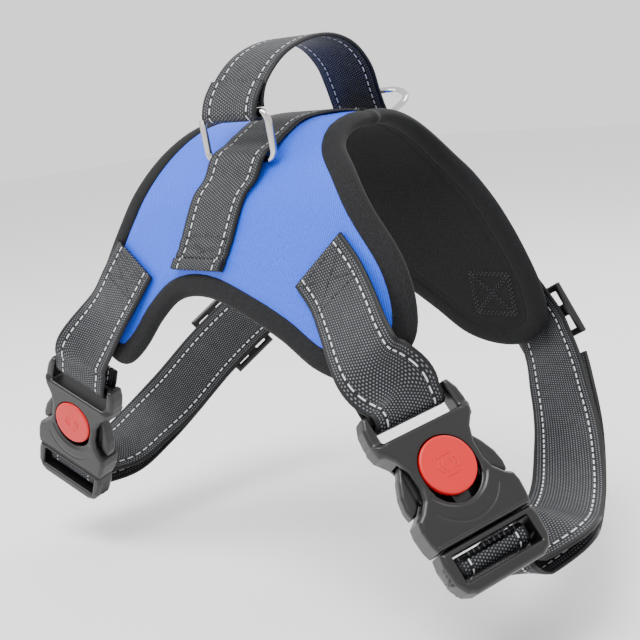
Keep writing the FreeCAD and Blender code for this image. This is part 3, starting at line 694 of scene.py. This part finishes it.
LOWER_ROUTES = {
    "chest": [
        on_side(1, -74, -82, ON_PANEL + 0.3), on_side(1, -84, -98, ON_BINDING + 0.6),
        on_side(1, -95, -114, ON_BINDING + 2),
        ((-107, 62, -125), (-0.5, 0.8, -0.2)), ((-115, 46, -136), (-0.72, 0.55, -0.42)),
        ((-123, 28, -150), (-0.72, 0.55, -0.42)), ((-132, 4, -170), (-0.72, 0.5, -0.45)),
        ((-139, -18, -184), (-0.6, 0.3, -0.75)), ((-144, -38, -194), (-0.5, 0.15, -0.86)),
    ] + on_buckle("chest", UPPER_ENTRY),
    "girth": [
        on_side(1, 76, -94, ON_PANEL + 0.5), on_side(1, 85, -111, ON_BINDING + 1.2),
        on_side(1, 94, -128, ON_BINDING + 1.6),
        ((101, 88, -140), (-0.02, 0.98, 0.15)), ((108, 81, -151), (-0.1, 0.97, 0.05)),
        ((116, 71, -163), (-0.15, 0.95, -0.05)), ((127, 55, -176), (-0.25, 0.88, -0.2)),
        ((138, 35, -186), (-0.3, 0.75, -0.45)), ((149, 12, -192), (-0.3, 0.5, -0.75)),
        ((158, -12, -193), (-0.25, 0.3, -0.9)),
    ] + on_buckle("girth", GIRTH_TURN + UPPER_ENTRY),
}
PLY_START = 4
PLY_SPREAD = 8.5
SLIDER_STOPS = {"chest": 4, "girth": 2}
SLIDER_GAP = 1.0


def return_route(which):
    route = LOWER_ROUTES[which]
    stretch = route[PLY_START:len(route) - len(UPPER_ENTRY)]
    return outer_ply(stretch, PLY_SPREAD) + on_buckle(which, LOWER_ENTRY)


STRAP_STEP = 1.5
ROUTE_SAMPLES = 24
FACE_COLUMNS = 14
EDGE_ROUND = [(0.0, 0.0), (0.25, 0.62), (0.9, 0.93)]     # inset from the edge, share of the half thickness
FACE_INSET = 1.6


def strap_frames(route, across=None):
    """Evenly spaced places along a strap, each with the directions ahead, across and outward."""
    tracks = [np.array([tuple(v) for v in smooth([Vector(stop[part]) for stop in route], ROUTE_SAMPLES)])
              for part in (0, 1)]
    lengths = lengths_along(tracks[0])
    count = max(int(lengths[-1] / STRAP_STEP), 2)
    at = np.linspace(0, lengths[-1], count + 1)
    places, facings = [resampled(track, lengths, at) for track in tracks]
    frames = []
    for k in range(count + 1):
        ahead = Vector(places[min(k + 1, count)] - places[max(k - 1, 0)]).normalized()
        side = ahead.cross(Vector(facings[k])).normalized()
        facing = side.cross(ahead).normalized()
        frames.append((at[k], Vector(places[k]), ahead, side if across is None else across, facing))
    return frames


def strap_row(width, thick):
    """A webbing's section: flat faces with rounded, slightly thinner edges."""
    half = width / 2
    deep = thick / 2
    left = [(inset - half, deep * share) for inset, share in EDGE_ROUND]
    flat = width - 2 * FACE_INSET
    face = [(FACE_INSET - half + flat * k / FACE_COLUMNS, deep) for k in range(FACE_COLUMNS + 1)]
    upper = left + face + [(-x, z) for x, z in reversed(left)]
    return upper + [(x, -z) for x, z in upper[1:-1]][::-1]


def make_strap(name, route, materials, across=None, wrinkle=None):
    frames = strap_frames(route, across)
    row = strap_row(WEB_WIDTH, WEB_THICK)
    rows = []
    for at, place, _, side, facing in frames:
        rows.append([place + side * x + facing * (z + (wrinkle(at, x) if wrinkle else 0.0)) for x, z in row])
    uvs = [(x, frame[0]) for frame in frames for x, _ in row]
    return swept(name, rows, materials["webbing"], uvs), frames


STITCH_BODY = [(-1, 0, 0), (-0.55, 0.8, 0.45), (-0.55, -0.8, 0.45), (0.55, 0.8, 0.45), (0.55, -0.8, 0.45),
               (1, 0, 0), (0, 0, 1), (0, 0, -0.7)]
STITCH_SKIN = [(0, 2, 6), (0, 6, 1), (1, 6, 3), (3, 6, 5), (5, 6, 4), (4, 6, 2),
               (0, 1, 7), (1, 3, 7), (3, 5, 7), (5, 4, 7), (4, 2, 7), (2, 0, 7)]
STITCH_LIFT = 1.05


def beads(name, points, directions, normals, size, material):
    """Short stitches: each a small rounded bead lying along its direction."""
    verts = []
    faces = []
    long, wide, tall = size
    for place, ahead, up in zip(points, directions, normals):
        side = ahead.cross(up).normalized()
        base = len(verts)
        for x, y, z in STITCH_BODY:
            verts.append(place + ahead * (x * long / 2) + side * (y * wide / 2) + up * (z * tall))
        faces += [tuple(base + i for i in face) for face in STITCH_SKIN]
    obj = add_mesh(name, verts, faces, material)
    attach(obj, "root")


def strap_point(frames, u, v, lift):
    """The place on a strap's outer face, u across and v along, with the directions there."""
    at = np.array([frame[0] for frame in frames])
    k = int(np.clip(np.searchsorted(at, v) - 1, 0, len(frames) - 2))
    t = (v - at[k]) / (at[k + 1] - at[k])
    place, ahead, side, facing = [frames[k][i].lerp(frames[k + 1][i], t) for i in range(1, 5)]
    return place + side * u + facing * lift, ahead.normalized(), side.normalized(), facing.normalized()


def sew(name, frames, runs, pitch, size, materials):
    """Stitches through a strap along straight runs between corners given as (across, along)."""
    points, directions, normals = [], [], []
    for corners in runs:
        for (u0, v0), (u1, v1) in zip(corners, corners[1:]):
            count = max(int(math.hypot(u1 - u0, v1 - v0) / pitch), 1)
            for k in range(count):
                t = (k + 0.5) / count
                u = u0 + (u1 - u0) * t
                v = v0 + (v1 - v0) * t
                place, ahead, side, facing = strap_point(frames, u, v, STITCH_LIFT)
                points.append(place)
                directions.append((side * (u1 - u0) + ahead * (v1 - v0)).normalized())
                normals.append(facing)
    beads(name, points, directions, normals, size, materials["thread"])


def box_stitch(name, frames, low, high, half, materials):
    """A box and X sewn through a strap between two lengths along it."""
    corners = [(-half, low), (half, low), (half, high), (-half, high), (-half, low), (half, high)]
    cross = [(-half, high), (half, low)]
    sew(name, frames, (corners, cross), 2.1, (1.7, 0.7, 0.34), materials)


def centre_wrinkle(at, x):
    """A few small creases near the sewn end of the centre strap."""
    return 0.35 * math.sin(at * 0.95 + x * 0.05) * math.exp(-((at - 10) / 9) ** 2)


def make_straps(materials):
    made = {}

    def add(piece, node, route, across=None, wrinkle=None):
        made[node] = make_strap(piece, route, materials, across, wrinkle)
        file_under(made[node][0], node)

    for node, route in ROUTES.items():
        if node == "center_strap":
            add(node + "_web", node, route, Vector((1, 0, 0)), centre_wrinkle)
        else:
            add(node + "_web", node, route)
    for which, route in LOWER_ROUTES.items():
        add(which + "_lower_web", which + "_lower_strap", route)
        add(which + "_return_web", which + "_return_ply", return_route(which))
    for node in ("center_strap", "chest_upper_strap", "girth_upper_strap"):
        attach(made[node][0], "root")
    return made


def add_centre_fold(frames, materials):
    """The centre strap's turned-under end, a second layer lying on the first."""
    low, high = 0.5, 7
    row = strap_row(WEB_WIDTH - 0.6, 1.9)
    rows, uvs = [], []
    steps = max(int((high - low) / 1.5), 2)
    for k in range(steps + 1):
        v = low + (high - low) * k / steps
        place, _, side, facing = strap_point(frames, 0, v, 1.6)
        squeeze = 1.0 if 0 < k < steps else 0.72
        rows.append([place + side * x + facing * (z * squeeze) for x, z in row])
        uvs += [(x, v) for x, _ in row]
    obj = swept("center_strap_fold", rows, materials["webbing"], uvs)
    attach(obj, "root")


# ---- distance fields ----

def polygon_field(points, outline):
    """Signed distance in the plane from a closed outline, negative inside."""
    ring = np.array(outline, float)
    away = distance_to_ring(points, ring)
    return np.where(inside_ring(points, ring), -away, away)


class Field:
    """A block of space sampled on an even grid, in millimetres."""

    def __init__(self, low, high, step):
        self.step = step
        self.low = np.array(low, float) - 2 * step
        counts = np.ceil((np.array(high) + 2 * step - self.low) / step).astype(int) + 1
        self.axes = [self.low[k] + step * np.arange(counts[k]) for k in range(3)]
        self.x, self.y = np.meshgrid(self.axes[0], self.axes[1], indexing="ij")
        self.flat = np.stack([self.x.ravel(), self.y.ravel()], axis=1)
        self.z = self.axes[2][None, None, :]

    def drawn(self, plan, low, high, soft):
        """A plan shape drawn from low to high with rounded edges."""
        plan = plan[:, :, None] + soft
        level = np.abs(self.z - (low + high) / 2) - (high - low) / 2 + soft
        outside = np.sqrt(np.maximum(plan, 0) ** 2 + np.maximum(level, 0) ** 2)
        return outside + np.minimum(np.maximum(plan, level), 0) - soft

    def prism(self, outline, low, high, soft):
        return self.drawn(polygon_field(self.flat, outline).reshape(self.x.shape), low, high, soft)

    def disc(self, x, y, radius, low, high, soft):
        return self.drawn(np.sqrt((self.x - x) ** 2 + (self.y - y) ** 2) - radius, low, high, soft)

    def rod(self, start, end, radius):
        """A round-ended bar between two places."""
        span = np.array(end, float) - start
        gaps = (self.x[:, :, None] - start[0], self.y[:, :, None] - start[1], self.z - start[2])
        t = np.clip(sum(gap * s for gap, s in zip(gaps, span)) / float(span @ span), 0, 1)
        return np.sqrt(sum((gap - t * s) ** 2 for gap, s in zip(gaps, span))) - radius


def join(a, b, soft):
    h = np.clip(0.5 + 0.5 * (b - a) / soft, 0, 1)
    return b * (1 - h) + a * h - soft * h * (1 - h)


def cut(a, b, soft):
    return -join(-a, b, soft)


def surface(field, values):
    """Surface nets: a smooth skin where the values change sign, as corners and four-sided faces."""
    nx, ny, nz = values.shape
    solid = values < 0
    corners = [(i, j, k) for i in (0, 1) for j in (0, 1) for k in (0, 1)]
    cell = sum(solid[i:nx - 1 + i, j:ny - 1 + j, k:nz - 1 + k].astype(int) for i, j, k in corners)
    active = (cell > 0) & (cell < 8)
    number = -np.ones(active.shape, int)
    spots = np.argwhere(active)
    number[active] = np.arange(len(spots))
    total = np.zeros((len(spots), 3))
    weight = np.zeros(len(spots))
    for a in corners:
        for axis in range(3):
            if a[axis]:
                continue
            b = list(a)
            b[axis] = 1
            value_a = values[tuple((spots + a).T)]
            value_b = values[tuple((spots + b).T)]
            crosses = (value_a < 0) != (value_b < 0)
            t = np.where(crosses, value_a / np.where(crosses, value_a - value_b, 1.0), 0.0)
            place = np.tile(np.array(a, float), (len(spots), 1))
            place[:, axis] += t
            total[crosses] += place[crosses]
            weight[crosses] += 1
    verts = (spots + total / weight[:, None]) * field.step + field.low
    faces = []
    for axis in range(3):
        u, v = [k for k in range(3) if k != axis]
        lower = [slice(1, -1)] * 3
        upper = [slice(1, -1)] * 3
        lower[axis] = slice(0, values.shape[axis] - 1)
        upper[axis] = slice(1, values.shape[axis])
        first = solid[tuple(lower)]
        base = np.argwhere(first != solid[tuple(upper)])
        flips = first[tuple(base.T)]
        quad = []
        for shift_u, shift_v in ((0, 0), (1, 0), (1, 1), (0, 1)):
            place = base.copy()
            place[:, u] += shift_u
            place[:, v] += shift_v
            quad.append(number[tuple(place.T)])
        quad = np.stack(quad, axis=1)
        quad[flips] = quad[flips][:, ::-1]
        faces.append(quad)
    return verts, np.concatenate(faces)


def moulded(name, shape, material, place, turn):
    verts, faces = surface(*shape)
    obj = add_mesh(name, [place + turn @ Vector(v) for v in verts], faces, material)
    relax = obj.modifiers.new("relax", "SMOOTH")
    relax.factor = 0.5
    relax.iterations = 2
    return obj


# ---- buckles ----

# A buckle lies flat about its middle: y up to the upper strap, z out of its face.

GRID = 0.45
SHELL_HALF = 7.5
CAVITY_HALF = 4
THROUGH = 9                     # more than any half thickness
BORE_RADIUS = 13.8
BORE_TRAVEL = 3.4
BUTTON_RADIUS = 13.4
BUTTON_LOW = 4.4
BUTTON_TOP = 8.2
MARK_LEVEL = 8.1
MARK_WIRE = 0.42
PRONG_HALF = 3.2
EAR_HALF = 3.5
EAR_FROM = 20.4
TONGUE_HALF = 6.5
GRIP_RIBS = 4
SLIDER_HALF = 1.8

SHELL = [(26, 21), (24.3, 16), (20.2, 11), (17.6, 4), (17.5, -4), (19, -9), (22.6, -13.2), (26.2, -15.8),
         (27, -20), (26.4, -27), (25.2, -31)]
RAIL = [(20.6, 16), (25.6, 16), (26.6, 24), (26.0, 30), (23.8, 35.2), (20.6, 35.2)]
PRONG = [(11, -30), (16.8, -30), (17.4, -16), (18.9, -12.6), (19.4, -8), (23.4, -12.4), (26.0, -12.9),
         (26.6, -9), (25.6, -3), (22.6, 4), (18.4, 10.4), (15.6, 11), (13.4, 6), (12.6, -8)]
EAR = [(20.4, -9.6), (23.4, -12.4), (26.0, -12.9), (26.6, -9), (25.6, -3), (22.8, 3), (19.8, 7)]
TONGUE = [(25, -31.5), (26, -37), (25.2, -46), (22.4, -51), (18, -53)]


def mirrored(points):
    return points + [(-x, y) for x, y in reversed(points)]


def on_hand(side, points):
    return [(side * x, y) for x, y in points]


def box_ring(x0, y0, x1, y1):
    return [(x0, y0), (x1, y0), (x1, y1), (x0, y1)]


def oblong_ring(radius, travel, count=24):
    """A round hole drawn out downwards by the button's travel."""
    upper = [(radius * math.cos(t), radius * math.sin(t)) for t in np.linspace(0, math.pi, count)]
    return upper + [(-x, -travel - y) for x, y in upper]


def housing_field():
    field = Field((-27, -31, -SHELL_HALF), (27, 35.6, SHELL_HALF + 0.1), GRID)
    y = field.y[:, :, None]
    shell = field.prism(mirrored(SHELL), -SHELL_HALF, SHELL_HALF, 2.2)
    for side in (-1, 1):
        shell = join(shell, field.prism(on_hand(side, RAIL), -5.4, 5.6, 2.0), 2.0)
    shell = join(shell, field.prism(box_ring(-22, 30, 22, 35), -2.5, 2.5, 1.9), 0.8)
    shell = join(shell, field.rod((-19.5, 19.6, 6.2), (19.5, 19.6, 6.2), 1.2), 0.8)
    slot = field.prism(box_ring(-20.6, 21, 20.6, 30), -THROUGH, THROUGH, 1.0)
    shell = cut(shell, np.maximum(slot, 20.9 - y), 0.6)
    cavity = field.prism(box_ring(-19.6, -33, 19.6, 13), -CAVITY_HALF, CAVITY_HALF, 0.6)
    shell = cut(shell, cavity, 0.4)
    shell = cut(shell, field.prism(oblong_ring(BORE_RADIUS, BORE_TRAVEL), 0, THROUGH, 0.2), 0.9)
    dish = field.disc(0, -1.6, 17.2, 6.9, THROUGH, 0.3)
    shell = cut(shell, np.maximum(dish, y + 9.5), 0.7)
    seam = np.maximum(np.abs(y + 28.6) - 0.32, 7.0 - field.z)
    shell = cut(shell, seam, 0.4)
    thumb = np.abs(np.sqrt(field.x ** 2 + (field.y + 6.2) ** 2) - 19.6)[:, :, None] - 0.28
    thumb = np.maximum(np.maximum(thumb, 7.1 - field.z), y + 16.5)
    return field, cut(shell, thumb, 0.5)


def prong_field(side):
    field = Field((min(side * 10, side * 27), -31, -4.4), (max(side * 10, side * 27), 12, 4.4), GRID)
    arm = field.prism(on_hand(side, PRONG), -PRONG_HALF, PRONG_HALF, 1.2)
    ear = field.prism(on_hand(side, EAR), -EAR_HALF, EAR_HALF, 1.6)
    return field, join(arm, np.maximum(ear, EAR_FROM - side * field.x[:, :, None]), 1.0)


def tongue_field():
    field = Field((-26, -53, -6.6), (26, 9, 6.6), GRID)
    base = field.prism(mirrored(TONGUE), -TONGUE_HALF, TONGUE_HALF, 2.4)
    base = cut(base, field.prism(box_ring(-20.5, -47, 20.5, -34.5), -THROUGH, THROUGH, 3.4), 1.4)
    base = join(base, field.prism(box_ring(-21.5, -42.5, 21.5, -38.5), -4.4, -1.0, 1.2), 0.5)
    base = join(base, field.prism(box_ring(-4.5, -33, 4.5, 8), -PRONG_HALF, PRONG_HALF, 1.0), 0.5)
    for x in (-25.7, 25.7):
        for k in range(GRIP_RIBS):
            y = -38.2 - 2.2 * k
            base = join(base, field.rod((x, y, -2.6), (x, y, 2.6), 0.75), 0.4)
    return field, base


def button_field():
    edge = BUTTON_RADIUS
    field = Field((-edge, -edge, BUTTON_LOW), (edge, edge, 9.2), GRID * 0.8)
    return field, field.disc(0, 0, edge, BUTTON_LOW, BUTTON_TOP, 0.9)


def button_mark():
    """A small raised mark: two short chevrons on each side between two ribs, a plain sign for pushing."""
    field = Field((-7, -6, 7.6), (7, 6, 8.9), GRID * 0.5)
    wires = [((-3.6, y), (3.6, y)) for y in (-4.6, 4.6)]
    for side in (-1, 1):
        for x in (1.6, 3.8):
            wires += [((side * (x + 1.4), 0), (side * x, tip)) for tip in (-2.6, 2.6)]
    rods = [field.rod((*start, MARK_LEVEL), (*end, MARK_LEVEL), MARK_WIRE) for start, end in wires]
    return field, np.minimum.reduce(rods)


def slider_field():
    field = Field((-24, -16, -SLIDER_HALF), (24, 16, SLIDER_HALF), GRID)
    plate = field.prism(box_ring(-24, -16, 24, 16), -SLIDER_HALF, SLIDER_HALF, 1.5)
    for low, high in ((3.6, 12), (-12, -3.6)):
        plate = cut(plate, field.prism(box_ring(-20, low, 20, high), -4, 4, 1.2), 0.8)
    return field, plate


def make_buckles(materials):
    """Both buckles. Each row: piece, shape, the node it stands for, its body and its material."""
    parts = [
        ("housing_shell", housing_field(), "buckle_housing", None, "buckle_plastic"),
        ("tongue_frame", tongue_field(), "buckle_tongue", "tongue", "buckle_plastic"),
        ("prong_arm_left", prong_field(-1), "prong_left", "prong_left", "buckle_plastic"),
        ("prong_arm_right", prong_field(1), "prong_right", "prong_right", "buckle_plastic"),
        ("button_disc", button_field(), "lock_button", "lock", "button_plastic"),
        ("button_mark", button_mark(), None, "lock", "button_plastic"),
    ]
    for which, (centre, angles) in BUCKLES.items():
        for piece, shape, node, body, slot in parts:
            obj = moulded("%s_%s" % (which, piece), shape, materials[slot], centre, turn_of(*angles))
            if node:
                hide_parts("%s_%s" % (which, node))
            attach(obj, "%s_%s" % (which, body) if body else "root")
        make_slider(which, materials)


def make_slider(which, materials):
    """A slider square to the strap's way past it, lying a little off its outer face."""
    stop = SLIDER_STOPS[which]
    before, under, after = [Vector(place) for place, _ in LOWER_ROUTES[which][stop - 1:stop + 2]]
    along = (before - after).normalized()
    across = along.cross(Vector(LOWER_ROUTES[which][stop][1])).normalized()
    facing = across.cross(along).normalized()
    place = under + facing * (WEB_THICK / 2 + SLIDER_HALF + SLIDER_GAP)
    turn = Matrix((across, along, facing)).transposed()
    obj = moulded(which + "_slider_plate", slider_field(), materials["buckle_plastic"], place, turn)
    file_under(obj, which + "_slider", which + "_slider")


# ---- rings ----

RING_CORNER = 5
DEE_CORNER = 2.2
WIRE_TURNS = np.linspace(0, 2 * math.pi, 20, endpoint=False)


def arc(x, y, radius, start, sweep, count):
    turns = [math.radians(start + sweep * k / count) for k in range(count + 1)]
    return [Vector((x + radius * math.cos(turn), y + radius * math.sin(turn), 0)) for turn in turns]


def looped(arcs, straights):
    """A closed path of arcs, each joined to the next by a straight run of so many points."""
    path = []
    for k, count in enumerate(straights):
        bend = arc(*arcs[k])
        end = arc(*arcs[(k + 1) % len(arcs)])[0]
        path += bend + [bend[-1].lerp(end, (j + 1) / (count + 1)) for j in range(count)]
    return path


def add_ring(name, path, wire, place, tilt, node, material):
    rows = []
    for k, here in enumerate(path):
        ahead = (path[(k + 1) % len(path)] - path[k - 1]).normalized()
        side = ahead.cross(Vector((0, 0, 1))).normalized() * (wire / 2)
        up = side.cross(ahead)
        round_wire = [here + side * math.cos(t) + up * math.sin(t) for t in WIRE_TURNS]
        rows.append([place + tilt @ p for p in round_wire])
    file_under(swept(name, rows, material, closed_path=True), node, node)


def make_rings(materials):
    right = (RING_WIDE - RING_WIRE) / 2 - RING_CORNER
    top = RING_TALL - RING_WIRE - RING_CORNER
    corners = [(right, top, 0), (-right, top, 90), (-right, RING_CORNER, 180), (right, RING_CORNER, 270)]
    path = looped([(x, y, RING_CORNER, start, 90, 14) for x, y, start in corners], (12, 6, 12, 6))
    add_ring("handle_ring_wire", path, RING_WIRE, HANDLE_RING_PLACE, HANDLE_RING_TILT, "handle_ring",
             materials["chrome"])
    radius = (DEE_WIDE - DEE_WIRE) / 2
    side = radius - DEE_CORNER
    arcs = [(0, DEE_DEEP - DEE_WIRE / 2 - radius, radius, 0, 180, 44),
            (-side, DEE_CORNER, DEE_CORNER, 180, 90, 6), (side, DEE_CORNER, DEE_CORNER, 270, 90, 6)]
    add_ring("d_ring_wire", looped(arcs, (6, 14, 6)), DEE_WIRE, DEE_PLACE, DEE_TILT, "d_ring",
             materials["chrome"])


# ---- studio ----

FLOOR_LEVEL = -252
FLOOR_HALF = 3000
WORLD_STRENGTH = 1.35

# Lights: where each is and what it is turned to, in metres, then its size and power.
LIGHTS = {
    "key": ((0.1, -0.55, 1.1), (0.02, -0.03, -0.08), (0.8, 0.6), 22),
    "fill": ((-0.9, -0.5, 0.3), (0, 0, -0.1), (0.6, 0.6), 4),
    "rim": ((0.2, 0.9, 0.7), (0, 0, -0.05), (0.6, 0.4), 6),
}


def make_studio():
    world = bpy.data.worlds.new("studio")
    bpy.context.scene.world = world
    world.use_nodes = True
    sky = world.node_tree.nodes["Background"]
    sky.inputs["Color"].default_value = (1, 1, 1, 1)
    sky.inputs["Strength"].default_value = WORLD_STRENGTH
    paper = new_material("floor_paper", (0.9, 0.9, 0.9), 0.9)[0]
    corners = box_ring(-FLOOR_HALF, -FLOOR_HALF, FLOOR_HALF, FLOOR_HALF)
    verts = [(x, y, FLOOR_LEVEL) for x, y in corners]
    add_mesh("floor", verts, [(0, 1, 2, 3)], paper, smooth_shaded=False)
    for name, (place, target, size, power) in LIGHTS.items():
        light = bpy.data.lights.new(name, "AREA")
        light.shape = "RECTANGLE"
        light.size, light.size_y = size
        light.energy = power
        obj = new_object(name, light)
        obj.location = Vector(place)
        obj.rotation_euler = (Vector(target) - obj.location).to_track_quat("-Z", "Y").to_euler()


# ---- build ----

def make_materials():
    return {
        "panel_fabric": make_panel_fabric(),
        "foam": make_plain("foam", srgb(40, 40, 42), 0.95),
        "lining_fabric": make_knit("lining_fabric", srgb(7, 7, 8), srgb(34, 34, 37), pitch=0.95),
        "binding_fabric": make_knit("binding_fabric", srgb(8, 8, 9), srgb(34, 35, 38), pitch=0.92),
        "webbing": make_webbing(),
        "chrome": make_plain("chrome", (0.56, 0.54, 0.53), 0.1, 1.0),
        "buckle_plastic": make_plain("buckle_plastic", srgb(11, 10, 10), 0.36, grain=0.2),
        "button_plastic": make_plain("button_plastic", srgb(196, 2, 8), 0.42, grain=0.1),
        "thread": make_plain("thread", srgb(52, 52, 56), 0.7),
    }


def blend_straps(made):
    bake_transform(made["handle_strap"][0])
    for which in BUCKLES:
        for name in ("lower_strap", "return_ply"):
            obj, frames = made["%s_%s" % (which, name)]
            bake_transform(obj)


LINING_BOX = (74, -107)
LINING_BOX_HALF = 12.5
ZIGZAG_STEP = 1.3
ZIGZAG_SWING = 0.7
ZIGZAG_LEAN = 0.9


def lining_box(materials):
    """The sewn box and X that holds the far girth strap, seen on the lining as zigzag stitches."""
    half = LINING_BOX_HALF
    corners = [(-half, -half), (half, -half), (half, half), (-half, half), (-half, -half), (half, half)]
    runs = list(zip(corners, corners[1:])) + [((-half, half), (half, -half))]
    points, directions, normals = [], [], []
    for (x0, z0), (x1, z1) in runs:
        length = math.hypot(x1 - x0, z1 - z0)
        along_x = (x1 - x0) / length
        along_z = (z1 - z0) / length
        count = int(length / ZIGZAG_STEP)
        for k in range(count):
            hand = 1 if k % 2 else -1
            swing = ZIGZAG_SWING * hand
            lean = ZIGZAG_LEAN * hand
            reach = length * (k + 0.5) / count
            x = LINING_BOX[0] + x0 + along_x * reach - along_z * swing
            z = LINING_BOX[1] + z0 + along_z * reach + along_x * swing
            place, look = on_side(1, x, z, -0.25)
            points.append(Vector(place))
            directions.append(Vector((along_x - along_z * lean, 0, along_z + along_x * lean)).normalized())
            normals.append(-Vector(look))
    beads("lining_box_stitch", points, directions, normals, (1.9, 0.6, 0.4), materials["thread"])


def add_details(made, materials):
    lining_box(materials)
    frames = made["center_strap"][1]
    box_stitch("center_strap_stitch", frames, 2.5, 20, 15, materials)
    add_centre_fold(frames, materials)
    box_stitch("girth_upper_stitch", made["girth_upper_strap"][1], 3, 22, 15.5, materials)
    frames = made["chest_upper_strap"][1]
    rows = [[(-16, along), (16, along)] for along in (3, 5.5, 20)]
    sew("chest_upper_rows", frames, rows, 1.5, (1.15, 0.75, 0.36), materials)
    box_stitch("chest_upper_stitch", frames, 8, 20, 15.5, materials)


materials = make_materials()
rim, inward = make_saddle(materials)
make_binding(rim, inward, materials)
straps = make_straps(materials)
blend_straps(straps)
add_details(straps, materials)
make_buckles(materials)
make_rings(materials)
make_camera()
make_studio()
